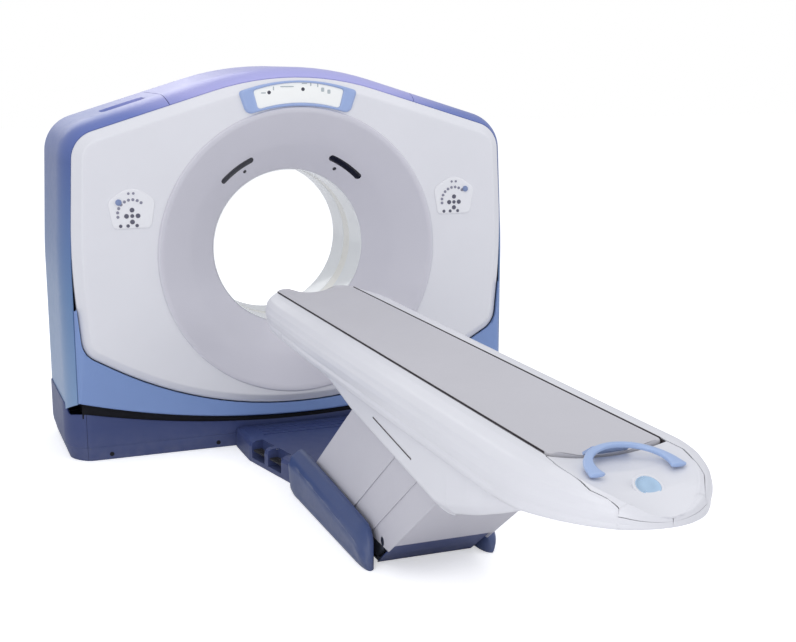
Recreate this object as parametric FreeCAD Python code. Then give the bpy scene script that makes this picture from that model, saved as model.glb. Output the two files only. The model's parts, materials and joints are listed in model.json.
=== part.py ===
"""A computed-tomography scanner: a tilting ring gantry on a floor base, and a patient table.

Millimetres. The origin is on the floor under the isocentre, the point where the tilt axis
crosses the scan axis. +Y runs from the table into the gantry, +X to the right as seen from
the table, +Z up. The tilt axis is the line through the isocentre along X.
"""
import FreeCAD, Part
import math
import os
from FreeCAD import Vector as V

# ---- gantry: overall ----
CROWN_RISE = 915.0        # the two roof slopes would meet this far above the isocentre
SHOULDER_X = 1083.0       # upper corner of the front cover
SHOULDER_RISE = 582.0
WAIST_X = 1115.0          # widest point of the front cover
HIP_X = 1079.0            # lower corner of the front cover
HIP_DROP = 444.0
CHIN_X = 509.0            # the lower edge of the front cover turns here
CHIN_FLAT = 14.7          # half of the straight piece at the lowest point
ANKLE_X = 1060.0          # half width of the body where it enters the base
ANKLE_DROP = 701.0
CROWN_R = 1400.0
SHOULDER_R = 140.0
WAIST_R = 3000.0
HIP_R = 120.0
CHIN_R = 1850.0
CHIN_TURN = 2 * math.atan((CHIN_X - CHIN_FLAT) / CHIN_R)
CHIN_DROP = HIP_DROP + (HIP_X - CHIN_X) * math.tan(CHIN_TURN)
FACE_Y = 438.0            # front and rear faces, from the tilt axis
FACE_BEVEL = 45.0         # sloping rim of the front and rear covers
RIM_Y = 400.0             # where the rim of a face cover starts
SKIRT_Y = 372.0           # inner end of a face cover's skirt
SHELL_OUT = 50.0          # the blue shell stands this far outside the front cover's outline
WAIST_FLARE = 10.0        # and this much more at the waist
ANKLE_FLARE = 34.0        # and at the ankle, where it runs into the base
SHELL_FLAT_Y = 200.0      # half depth of the shell's flat band
SHELL_END_Y = 394.5       # the shell ends here, close round the face covers' skirts
COVER_WALL = 5.0
SHELL_WALL = 6.0
PANEL_GAP = 3.0
SEAT_GAP = 0.3            # between a piece and the piece that carries it
TOP_SEAM_X = 620.0        # seam between the top cover and each side shell
CRESCENT_H = 146.0        # height of the crescents under the chin
BODY_R = CHIN_DROP + CRESCENT_H     # underside of the tilting body, about the tilt axis
UNDER_BODY = 72.0         # from the floor to that underside
ISO_Z = BODY_R + UNDER_BODY         # height of the isocentre and of the tilt axis
BODY_BULGE_R = 3738.0     # radius of that underside's curve along X
RECESS_X = 800.0          # grip recess in each shoulder
RECESS_LENGTH = 210.0
RECESS_WIDTH = 150.0
RECESS_DEPTH = 22.0

# ---- gantry: bore ----
BORE_R = 390.0
LIP_R = 395.3             # small end of the flared cones, over the end of the bore tube
LIP_Y = 225.0
FRONT_MOUTH_R = 712.0     # large end of the front cone
REAR_MOUTH_R = 590.0
MOUTH_Y = 447.0
WINDOW_HALF = 45.0        # scan window, half its length along the bore
LASER_R = 495.0           # radius of the two curved light windows
LASER_WIDTH = 26.0
LASER_FROM = 24.0         # degrees from the vertical
LASER_TO = 46.0
BUTTON_X = 888.0          # scan buttons, beside the keys
BUTTON_RISE = 281.0
BUTTON_R = 15.0

# ---- gantry: rotating assembly ----
ROTOR_R = 775.0
ROTOR_BORE_R = 412.0
ROTOR_WALL = 12.0
PLATE_Y = 40.0            # front face of the rotor plate
PLATE_T = 22.0
DRUM_FRONT_Y = -110.0
HUB_REAR_Y = 180.0
RACE_R = 500.0            # outside of the rotating bearing race
RACE_T = 30.0
BEARING_GAP = 1.0
MAGNET_R = 700.0
MAGNET_T = 40.0
AIR_GAP = 3.0
TUBE_RISE = 590.0         # focal spot above the scan axis
TUBE_R = 104.0
DETECTOR_R = 1026.0       # detector face, from the focal spot
DETECTOR_T = 75.0
DETECTOR_HALF_ANGLE = 26.0

# ---- gantry: tilt frame and base ----
FRAME_Y = 100.0           # front face of the tilt frame plate
FRAME_T = 30.0
ARM_X = 985.0
TRUNNION_R = 45.0
PYLON_X = 1000.0
PYLON_W = 80.0
PYLON_HALF_Y = 13.0       # thin at the foot: the covers' lower edges swing close past it
PYLON_FOOT_X = 972.0      # the foot is wide along X instead
PYLON_FOOT_W = 88.0
PYLON_HEAD_HALF = 75.0
RUNNING_GAP = 0.05
BASE_GAP = 22.0           # air between the tilting body and the base
BASE_BULGE_R = 4380.0
BASE_FACE_Y = 356.0
BASE_WALL = 5.0
BASE_SIDE_X = 1160.0
BASE_SIDE_TOP = 289.0
BASE_FOOT_X = 1010.0
BASE_SWEEP_X = 1151.0      # the tilting body passes inside this half width
ANCHOR_X = 900.0
ANCHOR_Y = 250.0
ANCHOR_R = 9.0
FLOOR_PLATE_T = 16.0

# ---- table: parallelogram legs ----
LEG_L = 720.0
LEG_ANGLE = 37.0          # above the horizontal, at rest
LEG_FOOT_Z = 112.0
FRONT_LEG_Y = -1414.0
REAR_LEG_Y = -2130.0
SIDE_PANEL_1_Y = -1594.0
SIDE_PANEL_2_Y = -1960.0
LEG_EYE_R = 36.0
LEG_SHAFT_R = 18.0
LEG_BAR_X = 120.0
LEG_BAR_T = 20.0
PEDESTAL_X = 216.5        # outside of the pedestal's side panels
PANEL_T = 3.5
PANEL_STEP = 4.5
FACE_OUT = 114.0          # pedestal front face, square from the front leg's line
REAR_OUT = 55.0
SEAM_1 = 547.0            # widths along Y of the panels that show at rest
SEAM_2 = 244.0
SEAM_3 = 206.0
OVERLAP = 10.0            # least overlap of the panels with the table raised
LIFT_UP = 14.0            # degrees that the legs rise from rest
LIFT_DOWN = 25.0

# ---- table: base, dock, pedals ----
DOCK_Z = 105.0
DOCK_X = 335.0
DOCK_NECK_X = 250.0
DOCK_END_Y = -1150.0
FOOT_COVER_X = 300.0
FOOT_COVER_IN = 223.0
FOOT_FRONT_Y = -1165.0
FOOT_REAR_Y = -2190.0
FOOT_FRONT_Z = 222.0
FOOT_REAR_Z = 138.0
KICK_X = 200.0
KICK_Z = 128.0
KICK_T = 5.0
SIDE_PLATE_X = 176.0
SIDE_PLATE_T = 16.0
PEDAL_L = 118.0
PEDAL_W = 44.0
PEDAL_T = 12.0
PEDAL_Z = 58.0

# ---- table: top ----
TOP_Z = 841.0             # top of the cradle's edges
RIM_Z = 838.0
TABLE_X = 300.0
TABLE_WALL = 5.0
KEEL_X = 262.0
WELL_X = 233.0            # half width of the opening that the pedestal moves in
TROUGH_X = 198.0
DECK_Z = 765.0
DECK_T = 5.0
CRADLE_X = 192.0
CRADLE_HEAD_Y = -615.0
CRADLE_FOOT_Y = -3415.0
CRADLE_DISH = 26.0
CRADLE_LIFT = 1.0
RAIL_X = 150.0
RAIL_W = 36.0
END_SEAM_Y = -3545.0
END_SEAM_X = 232.0
NOSE_SEAM_Y = -1076.0
NOSE_X = 185.0
HANDLE_Y = -3566.0         # centre of the handle's arc
HANDLE_R = 128.0
HANDLE_W = 28.0
HANDLE_T = 16.0
HANDLE_Z = 834.0          # its ends, close over the dished lid
HANDLE_SLOPE = 7.0        # degrees that it rises towards the cradle
LID_DISH_R = 920.0        # the foot end is dished along its middle
LID_DISH_Z = 806.0        # bottom of the dish at the lid's seam
LID_DISH_FALL = 0.08
TROUGH_END_Y = -3486.0
BADGE_Y = -3655.0         # round boss on the lid
BADGE_R = 34.0

OUT = "parts"
ISO = V(0, 0, ISO_Z)
X_AXIS = V(1, 0, 0)
Y_AXIS = V(0, 1, 0)
Z_AXIS = V(0, 0, 1)
LEAN = math.radians(LEG_ANGLE)


# ---- geometry helpers ----
def box(x0, x1, y0, y1, z0, z1):
    return Part.makeBox(x1 - x0, y1 - y0, z1 - z0, V(x0, y0, z0))


def rod(start, axis, radius, length):
    return Part.makeCylinder(radius, length, start, axis)


def tube(start, axis, outer, inner, length):
    return rod(start, axis, outer, length).cut(rod(start, axis, inner, length))


def flip(shape):
    """The same piece on the other side of the plane X = 0."""
    return shape.mirror(V(0, 0, 0), X_AXIS)


def both(shape):
    return [shape, flip(shape)]


def fuse(shapes):
    first, rest = shapes[0], shapes[1:]
    return first.fuse(rest).removeSplitter() if rest else first


def mirrored(half):
    """A closed outline from its right half, given from top to bottom as (across, up, radius)."""
    left = [(-a, b, r) for a, b, r in reversed(half) if abs(a) > 1e-6]
    return list(half) + left


def turn_sign(corners):
    area = 0.0
    for (a0, b0, _), (a1, b1, _) in zip(corners, corners[1:] + corners[:1]):
        area += a0 * b1 - a1 * b0
    return 1.0 if area > 0 else -1.0


def grown(corners, d):
    """A closed outline moved outwards by d, each side parallel to itself."""
    side = turn_sign(corners)
    n = len(corners)
    moved = []
    for i in range(n):
        (ap, bp, _), (a, b, r), (an, bn, _) = corners[i - 1], corners[i], corners[(i + 1) % n]
        u = V(a - ap, b - bp, 0).normalize()
        w = V(an - a, bn - b, 0).normalize()
        nu = V(u.y, -u.x, 0) * (side * d)
        nw = V(w.y, -w.x, 0) * (side * d)
        cross = u.x * w.y - u.y * w.x
        if abs(cross) < 1e-9:
            p = V(a, b, 0) + nu
        else:
            gap = nw - nu
            p = V(a, b, 0) + nu + u * ((gap.x * w.y - gap.y * w.x) / cross)
        bend = 1.0 if cross * side > 0 else -1.0
        moved.append((p.x, p.y, max(r + bend * d, 0.5) if r else 0.0))
    return moved


def outline(corners, place):
    """A wire of straight sides and round corners; place turns (across, up) into a point."""
    n = len(corners)
    starts, arcs = [], []
    for i in range(n):
        (ap, bp, _), (a, b, r), (an, bn, _) = corners[i - 1], corners[i], corners[(i + 1) % n]
        here = V(a, b, 0)
        if not r:
            starts.append((here, here))
            arcs.append(None)
            continue
        u = (V(ap, bp, 0) - here).normalize()
        w = (V(an, bn, 0) - here).normalize()
        half = math.acos(max(-1.0, min(1.0, u.dot(w)))) / 2
        reach = r / math.tan(half)
        centre = here + (u + w).normalize() * (r / math.sin(half))
        middle = centre + (here - centre).normalize() * r
        starts.append((here + u * reach, here + w * reach))
        arcs.append(middle)
    edges = []
    for i in range(n):
        enter, leave = starts[i]
        if arcs[i] is not None:
            points = [place(p.x, p.y) for p in (enter, arcs[i], leave)]
            edges.append(Part.Arc(*points).toShape())
        ahead = starts[(i + 1) % n][0]
        if (ahead - leave).Length > 1e-4:
            edges.append(Part.LineSegment(place(leave.x, leave.y), place(ahead.x, ahead.y)).toShape())
    return Part.Wire(edges)


def across_y(y):
    return lambda a, b: V(a, y, ISO_Z + b)


def at_y(y):
    return lambda a, b: V(a, y, b)


def at_x(x):
    return lambda a, b: V(x, a, b)


def at_z(z):
    return lambda a, b: V(a, b, z)


def slab(corners, place, reach):
    """A flat outline pushed along a vector."""
    return Part.Face(outline(corners, place)).extrude(reach)


def skin(stations):
    """A solid through outlines with the same sides, joined by straight lines."""
    return Part.makeLoft(stations, True, True)


def turned(corners, axis_point=ISO, axis=Y_AXIS, angle=360.0):
    """A profile of (radius, along) turned about a line; the radius is measured along +X."""
    wire = outline(corners, lambda a, b: V(a, b, ISO_Z))
    return Part.Face(wire).revolve(axis_point, axis, angle)


def ring(outer, inner, y0, y1):
    return tube(V(0, y0, ISO_Z), Y_AXIS, outer, inner, y1 - y0)


def barrel(radius, bulge):
    """A solid of revolution about the tilt axis, fullest in the middle."""
    end = 1300.0
    low = radius - end * end / (2 * bulge)
    arc = Part.Arc(V(-end, 0, ISO_Z + low), V(0, 0, ISO_Z + radius), V(end, 0, ISO_Z + low))
    sides = [
        arc.toShape(),
        Part.LineSegment(V(end, 0, ISO_Z + low), V(end, 0, ISO_Z)).toShape(),
        Part.LineSegment(V(end, 0, ISO_Z), V(-end, 0, ISO_Z)).toShape(),
        Part.LineSegment(V(-end, 0, ISO_Z), V(-end, 0, ISO_Z + low)).toShape(),
    ]
    return Part.Face(Part.Wire(sides)).revolve(ISO, X_AXIS, 360)


def save(name, shapes):
    shapes = shapes if isinstance(shapes, list) else [shapes]
    solids = [s for shape in shapes for s in shape.Solids]
    bad = [s for s in solids if not s.isValid() or s.Volume <= 0]
    print(name, len(solids), "solids", "INVALID" if bad or not solids else "")
    Part.makeCompound(solids).exportStep(os.path.join(OUT, name + ".step"))


# ---- gantry outlines ----
def face_corners():
    """Outline of the front and rear covers, about the isocentre."""
    return mirrored([
        (0, CROWN_RISE, CROWN_R),
        (SHOULDER_X, SHOULDER_RISE, SHOULDER_R),
        (WAIST_X, -10, WAIST_R),
        (HIP_X, -HIP_DROP, HIP_R),
        (CHIN_X, -CHIN_DROP, CHIN_R),
    ])


def body_corners(k=0.0):
    """Outline of the whole tilting body, which goes on down into the base; k is the share of its flare."""
    waist, ankle = WAIST_X + WAIST_FLARE * k, ANKLE_X + ANKLE_FLARE * k
    lean = (waist - ankle) / (ANKLE_DROP - 10)
    sole_drop = ISO_Z - 40
    return mirrored([
        (0, CROWN_RISE, CROWN_R),
        (SHOULDER_X, SHOULDER_RISE, SHOULDER_R),
        (waist, -10, WAIST_R),
        (waist - lean * (sole_drop - 10), -sole_drop, 0),
    ])


def body_solid(inset):
    """The tilting body's outer form, or the space inside its wall."""
    stops = [
        (-RIM_Y - inset, 0.0), (-355, 0.56), (-290, 0.9), (-SHELL_FLAT_Y, 1.0),
        (SHELL_FLAT_Y, 1.0), (290, 0.9), (355, 0.56), (RIM_Y + inset, 0.0),
    ]
    return skin([outline(grown(body_corners(k), SHELL_OUT * k - inset), across_y(y)) for y, k in stops])


def face_cover_solid(side, inset):
    """A face cover's outer form, or the space inside it. side is -1 in front, 1 behind."""
    corners = face_corners()
    stops = [(SKIRT_Y - inset, 0), (RIM_Y - inset / 2, 0), (FACE_Y - inset, FACE_BEVEL)]
    return skin([outline(grown(corners, -inset - back), across_y(side * y)) for y, back in stops])


def below_barrel(shape):
    """Keeps what lies inside the body's round underside; above the tilt axis all is kept."""
    upper = box(-1300, 1300, -600, 600, ISO_Z - 200, ISO_Z + 1100)
    return shape.common(barrel(BODY_R, BODY_BULGE_R).fuse(upper))


# ---- gantry covers ----
def front_cover():
    shell = face_cover_solid(-1, 0).cut(face_cover_solid(-1, COVER_WALL))
    shell = shell.cut(rod(V(0, -FACE_Y - 50, ISO_Z), Y_AXIS, FRONT_MOUTH_R + 1, 200))
    stems = [rod(V(side * BUTTON_X, -FACE_Y - 20, ISO_Z + BUTTON_RISE), Y_AXIS, BUTTON_R + 0.5, 40)
             for side in (-1, 1)]
    return shell.cut(Part.makeCompound(stems))


def rear_cover():
    shell = face_cover_solid(1, 0).cut(face_cover_solid(1, COVER_WALL))
    return shell.cut(rod(V(0, FACE_Y - 150, ISO_Z), Y_AXIS, REAR_MOUTH_R + 1, 200))


def bore_cone(side, mouth_r):
    """A flared ring from the cover's opening to the bore, with a rolled outer edge."""
    depth = MOUTH_Y - LIP_Y
    outer = [
        (mouth_r, side * (MOUTH_Y - 22), 0),
        (mouth_r, side * MOUTH_Y, 8),
        (mouth_r - 22, side * MOUTH_Y, 40),
        (LIP_R + (mouth_r - LIP_R) * 0.42, side * (LIP_Y + depth * 0.50), 500),
        (LIP_R, side * (LIP_Y + 38), 60),
        (LIP_R, side * LIP_Y, 0),
    ]
    wall = COVER_WALL
    inner = [
        (LIP_R + wall, side * LIP_Y, 0),
        (LIP_R + wall, side * (LIP_Y + 36), 55),
        (LIP_R + (mouth_r - LIP_R) * 0.42 + 3, side * (LIP_Y + depth * 0.50 - wall - 1), 500),
        (mouth_r - 24, side * (MOUTH_Y - wall - 1), 34),
        (mouth_r - wall, side * (MOUTH_Y - wall - 2), 0),
        (mouth_r - wall, side * (MOUTH_Y - 22), 0),
    ]
    return turned(outer + inner)


def bore_tube():
    """Two lengths of tube; each reaches a little way into the small end of its cone."""
    reach = LIP_Y + 4
    front = ring(BORE_R + COVER_WALL, BORE_R, -reach, -WINDOW_HALF)
    rear = ring(BORE_R + COVER_WALL, BORE_R, WINDOW_HALF, reach)
    return [front, rear]


def scan_window():
    return ring(BORE_R + 4, BORE_R + 1, -WINDOW_HALF + SEAT_GAP, WINDOW_HALF - SEAT_GAP)


def body_shell():
    shell = body_solid(0).cut(body_solid(SHELL_WALL))
    shell = shell.common(box(-1300, 1300, -SHELL_END_Y, SHELL_END_Y, 0, 2000))
    return below_barrel(shell)


def side_shell(shell):
    """The blue shell from the roof seam down to the base, with its grip recess."""
    piece = shell.common(box(TOP_SEAM_X + PANEL_GAP / 2, 1300, -600, 600, 0, 2000))
    slope = math.atan2(CROWN_RISE - SHOULDER_RISE, SHOULDER_X)
    level = ISO_Z + CROWN_RISE - RECESS_X * math.tan(slope) + SHELL_OUT / math.cos(slope)
    return piece, slope, level


def with_recess(piece, slope, level):
    """Presses a round-cornered dish into the shoulder, with its own walls and floor."""
    half_l, half_w = RECESS_LENGTH / 2, RECESS_WIDTH / 2
    rim = [(-half_l, -half_w, 40), (half_l, -half_w, 40), (half_l, half_w, 40), (-half_l, half_w, 40)]

    def placed(corners, low, high):
        block = slab(corners, at_z(low), V(0, 0, high - low))
        block.rotate(V(0, 0, 0), Y_AXIS, math.degrees(slope))
        block.translate(V(RECESS_X, -120, level))
        return block

    cup = placed(grown(rim, SHELL_WALL), -RECESS_DEPTH - SHELL_WALL, -1.0)
    hole = placed(rim, -RECESS_DEPTH, 60)
    return piece.fuse(cup).cut(hole)


def top_cover(shell):
    return shell.common(box(-TOP_SEAM_X + PANEL_GAP / 2, TOP_SEAM_X - PANEL_GAP / 2,
                            -600, 600, ISO_Z + 400, 2000))


def lower_front_panel():
    """The light crescent between the front cover's lower edge and the base."""
    plate = skin([
        outline(grown(body_corners(), 0), across_y(-SKIRT_Y + 20)),
        outline(grown(body_corners(), 0), across_y(-RIM_Y + 4)),
        outline(grown(body_corners(), -16), across_y(-RIM_Y - 16)),
    ])
    room = skin([
        outline(grown(body_corners(), -COVER_WALL), across_y(-SKIRT_Y + 25)),
        outline(grown(body_corners(), -COVER_WALL), across_y(-RIM_Y + 9)),
        outline(grown(body_corners(), -16 - COVER_WALL), across_y(-RIM_Y - 11)),
    ])
    cover = slab(grown(face_corners(), PANEL_GAP), across_y(-FACE_Y - 50), V(0, 200, 0))
    piece = plate.cut(room).cut(cover).cut(body_solid(-1))
    piece = piece.common(box(-1300, 1300, -600, 0, 0, ISO_Z - 200))
    piece = piece.common(barrel(BODY_R, BODY_BULGE_R))
    return max(piece.Solids, key=lambda s: s.Volume)


def lower_rear_panel():
    """The rear crescent, in one piece with the belly skin between the two pylons."""
    crescent = lower_front_panel().mirror(V(0, 0, 0), Y_AXIS)
    belly = barrel(BODY_R - 1, BODY_BULGE_R).cut(barrel(BODY_R - 1 - COVER_WALL, BODY_BULGE_R))
    reach = PYLON_FOOT_X - 12
    room = box(-reach, reach, -RIM_Y - 11 + SEAT_GAP, RIM_Y + 14, 0, ISO_Z - 600)
    belly = belly.common(room)
    return crescent.fuse(belly)


def display_hole():
    return mirrored([(0, 860, 730), (230, 791, 14), (206, 700, 16), (0, 755, 730)])


def on_face(corners, y):
    """A plate that fills from the front cover's face and rim out to y."""
    block = slab(corners, across_y(-RIM_Y + 4), V(0, y + RIM_Y - 4, 0))
    return block.cut(face_cover_solid(-1, -SEAT_GAP))


def display_frame():
    """A raised arched frame over the bore, from the mouth up to the crown of the cover."""
    rim = mirrored([(0, 876, 880), (300, 786, 18), (262, 675, 34), (0, 745, 860)])
    body = on_face(rim, -FACE_Y - 16)
    chamfer = slab(grown(rim, 30), across_y(-FACE_Y - 30), V(0, 23, 0))
    chamfer = chamfer.cut(skin([outline(grown(rim, -9), across_y(-FACE_Y - 16)),
                                outline(rim, across_y(-FACE_Y - 7))]))
    body = body.cut(chamfer)
    return body.cut(slab(display_hole(), across_y(-FACE_Y - 40), V(0, 80, 0)))


def display_window():
    return on_face(grown(display_hole(), -SEAT_GAP), -FACE_Y - 10)


def cone_room(inset):
    """The space inside the front cone's visible surface, drawn in by inset."""
    depth = MOUTH_Y - LIP_Y
    corners = [
        (0, -MOUTH_Y, 0), (FRONT_MOUTH_R - 22, -MOUTH_Y, 40),
        (LIP_R + (FRONT_MOUTH_R - LIP_R) * 0.42, -(LIP_Y + depth * 0.50), 500),
        (LIP_R, -(LIP_Y + 38), 60), (LIP_R, -LIP_Y, 0), (0, -LIP_Y, 0),
    ]
    moved = grown(corners, -inset)
    moved[0], moved[-1] = (0, moved[0][1], 0), (0, moved[-1][1], 0)
    return turned(moved)


def laser_windows():
    """Two dark curved strips let into the cone, one on each side of the vertical."""
    layer = cone_room(SEAT_GAP).cut(cone_room(SEAT_GAP + 3))
    band = ring(LASER_R + LASER_WIDTH / 2, LASER_R - LASER_WIDTH / 2, -MOUTH_Y + 20, -LIP_Y)
    a, b = math.radians(LASER_FROM), math.radians(LASER_TO)
    wedge = slab([(0, 0, 0), (900 * math.sin(a), 900 * math.cos(a), 0),
                  (900 * math.sin(b), 900 * math.cos(b), 0)], across_y(-MOUTH_Y), V(0, MOUTH_Y, 0))
    return both(layer.common(band).common(wedge))


# ---- control panels ----
def control_panel(side):
    """A raised fan-shaped keypad, and the round button that stands in it."""
    x, z = side * 826.0, 215.0
    fan = [(-78, -52, 22), (78, -52, 22), (96, 62, 30), (0, 128, 90), (-96, 62, 30)]
    placed = [(x + a, z + b, r) for a, b, r in fan]
    pad = skin([outline(placed, across_y(-FACE_Y - 0.3)),
                outline(grown(placed, -4), across_y(-FACE_Y - 5))])
    keys = []
    for a, b, w in [(0, 22, 9), (-22, 0, 9), (22, 0, 9), (0, -22, 9), (0, 0, 7)]:
        keys.append(rod(V(x + a, -FACE_Y - 7, ISO_Z + z + b), Y_AXIS, w, 3))
    for a in (-44, -15, 15, 44):
        keys.append(rod(V(x + a, -FACE_Y - 7, ISO_Z + z - 40), Y_AXIS, 6, 3))
    for k in range(7):
        swing = math.radians(-60 + 20 * k)
        spot = V(x + 62 * math.sin(swing), -FACE_Y - 7, ISO_Z + z + 10 + 62 * math.cos(swing))
        keys.append(rod(spot, Y_AXIS, 6, 3))
    well = rod(V(side * BUTTON_X, -FACE_Y - 20, ISO_Z + BUTTON_RISE), Y_AXIS, BUTTON_R + 0.3, 40)
    return fuse([pad] + keys).cut(well)


def scan_button(side):
    """A push button with a domed cap, which goes through the panel and into the cover."""
    x, z = side * BUTTON_X, ISO_Z + BUTTON_RISE
    profile = [(0, -FACE_Y - 14, 0), (BUTTON_R, -FACE_Y - 11, 4), (BUTTON_R, -FACE_Y + 4, 0),
               (0, -FACE_Y + 4, 0)]
    face = Part.Face(outline(profile, lambda a, b: V(x + a, b, z)))
    return face.revolve(V(x, 0, z), Y_AXIS, 360)


# ---- rotating assembly ----
def rotor_drum():
    """A webbed plate with a rim, a hub and the inner bearing race, turned as one casting."""
    rear = PLATE_Y + PLATE_T
    profile = [
        (ROTOR_BORE_R, DRUM_FRONT_Y - 60, 0), (ROTOR_BORE_R + ROTOR_WALL, DRUM_FRONT_Y - 60, 0),
        (ROTOR_BORE_R + ROTOR_WALL, PLATE_Y, 10), (ROTOR_R - ROTOR_WALL, PLATE_Y, 10),
        (ROTOR_R - ROTOR_WALL, DRUM_FRONT_Y, 0), (ROTOR_R, DRUM_FRONT_Y, 0), (ROTOR_R, rear, 4),
        (RACE_R, rear, 0), (RACE_R, FRAME_Y + FRAME_T - 2, 0),
        (RACE_R - RACE_T, FRAME_Y + FRAME_T - 2, 0), (RACE_R - RACE_T, rear, 0),
        (ROTOR_BORE_R + ROTOR_WALL, rear, 0), (ROTOR_BORE_R + ROTOR_WALL, HUB_REAR_Y, 0),
        (ROTOR_BORE_R, HUB_REAR_Y, 0),
    ]
    drum = turned(profile)
    magnets = ring(MAGNET_R, MAGNET_R - MAGNET_T, rear - 0.5, rear + 13)
    ribs = []
    for k in range(12):
        rib = box(-5, 5, DRUM_FRONT_Y + 50, PLATE_Y + 1, ISO_Z + 700, ISO_Z + ROTOR_R - 4)
        rib.rotate(ISO, Y_AXIS, 15 + 30 * k)
        ribs.append(rib)
    holes = []
    for k in range(6):
        hole = rod(V(0, PLATE_Y - 5, ISO_Z + 600), Y_AXIS, 34, PLATE_T + 10)
        hole.rotate(ISO, Y_AXIS, 30 + 60 * k)
        holes.append(hole)
    return fuse([drum, magnets] + ribs).cut(Part.makeCompound(holes))


def xray_tube():
    """The tube housing, with its end bells, port boss and mounting saddle."""
    z = ISO_Z + TUBE_RISE
    body = rod(V(0, -190, z), Y_AXIS, TUBE_R, 190)
    neck = rod(V(0, -224, z), Y_AXIS, TUBE_R - 26, 36)
    horn = rod(V(0, -2, z), Y_AXIS, TUBE_R - 40, 41.7)
    port = box(-48, 48, -60, 10, z - TUBE_R - 10, z - 60)
    saddle = box(-96, 96, 0, PLATE_Y - 0.3, z - 40, z + 110)
    cables = rod(V(-70, -150, z + 74), Z_AXIS, 17, 36)
    return fuse([body, neck, horn, port, saddle, cables])


def collimator():
    """A funnel of lead plates below the tube, open down the middle for the fan beam."""
    top, low = ISO_Z + TUBE_RISE - TUBE_R - 11, ISO_Z + ROTOR_BORE_R + ROTOR_WALL + 14
    corners = [(-70, top, 4), (70, top, 4), (88, low, 4), (-88, low, 4)]
    block = slab(corners, at_y(-62), V(0, PLATE_Y - 0.3 + 62, 0))
    slot = [(-24, top + 5, 0), (24, top + 5, 0), (62, low - 5, 0), (-62, low - 5, 0)]
    return block.cut(slab(slot, at_y(-18), V(0, 36, 0)))


def detector_array():
    """A curved detector, its modules parted by slots, bent about the focal spot."""
    focus = V(0, 0, ISO_Z + TUBE_RISE)
    profile = [(DETECTOR_R, -62, 0), (DETECTOR_R + DETECTOR_T, -62, 0),
               (DETECTOR_R + DETECTOR_T, PLATE_Y - 0.3, 0), (DETECTOR_R, PLATE_Y - 0.3, 0)]
    wire = outline(profile, lambda a, b: V(a, b, ISO_Z + TUBE_RISE))
    arc = Part.Face(wire).revolve(focus, Y_AXIS, 2 * DETECTOR_HALF_ANGLE)
    arc.rotate(focus, Y_AXIS, 90 - DETECTOR_HALF_ANGLE)
    slots = []
    step = 2 * DETECTOR_HALF_ANGLE / 13
    for k in range(1, 13):
        slot = box(-1.5, 1.5, -70, -52, ISO_Z + TUBE_RISE - DETECTOR_R - DETECTOR_T - 2,
                   ISO_Z + TUBE_RISE - DETECTOR_R + 2)
        slot.rotate(focus, Y_AXIS, -DETECTOR_HALF_ANGLE + step * k)
        slots.append(slot)
    return arc.cut(Part.makeCompound(slots))


def hv_generator():
    tank = slab([(470, -150, 14), (690, -150, 14), (690, 150, 14), (470, 150, 14)],
                across_y(-150), V(0, 150 + PLATE_Y - 0.3, 0))
    lugs = [rod(V(x, -166, ISO_Z + z), Y_AXIS, 20, 20) for x, z in ((530, 70), (530, -70), (630, 0))]
    return fuse([tank] + lugs)


def heat_exchanger():
    """An oil cooler: a core with cooling slots and two fan rings."""
    core = slab([(-690, -130, 8), (-480, -130, 8), (-480, 170, 8), (-690, 170, 8)],
                across_y(-120), V(0, 120 + PLATE_Y - 0.3, 0))
    slots = [box(-684, -486, -130, -70, ISO_Z - 118 + 24 * k, ISO_Z - 112 + 24 * k) for k in range(12)]
    return core.cut(Part.makeCompound(slots))


def slip_ring():
    """A grooved ring of conductor tracks on the hub."""
    inner = ROTOR_BORE_R + ROTOR_WALL
    corners = [(inner + 0.3, HUB_REAR_Y, 0), (inner + 0.3, HUB_REAR_Y - 56, 0)]
    top = inner + 28
    for k in range(5):
        y = HUB_REAR_Y - 56 + 11.2 * k
        corners += [(top, y + 0.6, 0), (top, y + 8, 0), (top - 5, y + 8.6, 0), (top - 5, y + 11, 0)]
    return turned(corners)


# ---- tilting frame ----
def stator_bearing():
    """The fixed race, flanged on the front of the tilt frame."""
    y0, y1 = PLATE_Y + PLATE_T + 3, FRAME_Y - SEAT_GAP
    inner, outer = RACE_R + BEARING_GAP, RACE_R + BEARING_GAP + 38
    return turned([(inner, y0, 0), (outer, y0, 0), (outer, y1 - 12, 0), (outer + 32, y1 - 12, 0),
                   (outer + 32, y1, 0), (outer, y1, 0), (outer, FRAME_Y + FRAME_T - 2, 0),
                   (inner, FRAME_Y + FRAME_T - 2, 0)])


def drive_stator():
    """The ring motor's wound half, with its teeth facing the magnets."""
    y1 = FRAME_Y - 0.3
    y0 = PLATE_Y + PLATE_T + 13 + AIR_GAP
    body = ring(MAGNET_R, MAGNET_R - MAGNET_T, y0, y1)
    slots = []
    for k in range(48):
        slot = box(-4, 4, y0 - 1, y0 + 9, ISO_Z + MAGNET_R - MAGNET_T - 5, ISO_Z + MAGNET_R + 5)
        slot.rotate(ISO, Y_AXIS, 7.5 * k)
        slots.append(slot)
    return body.cut(Part.makeCompound(slots))


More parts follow.
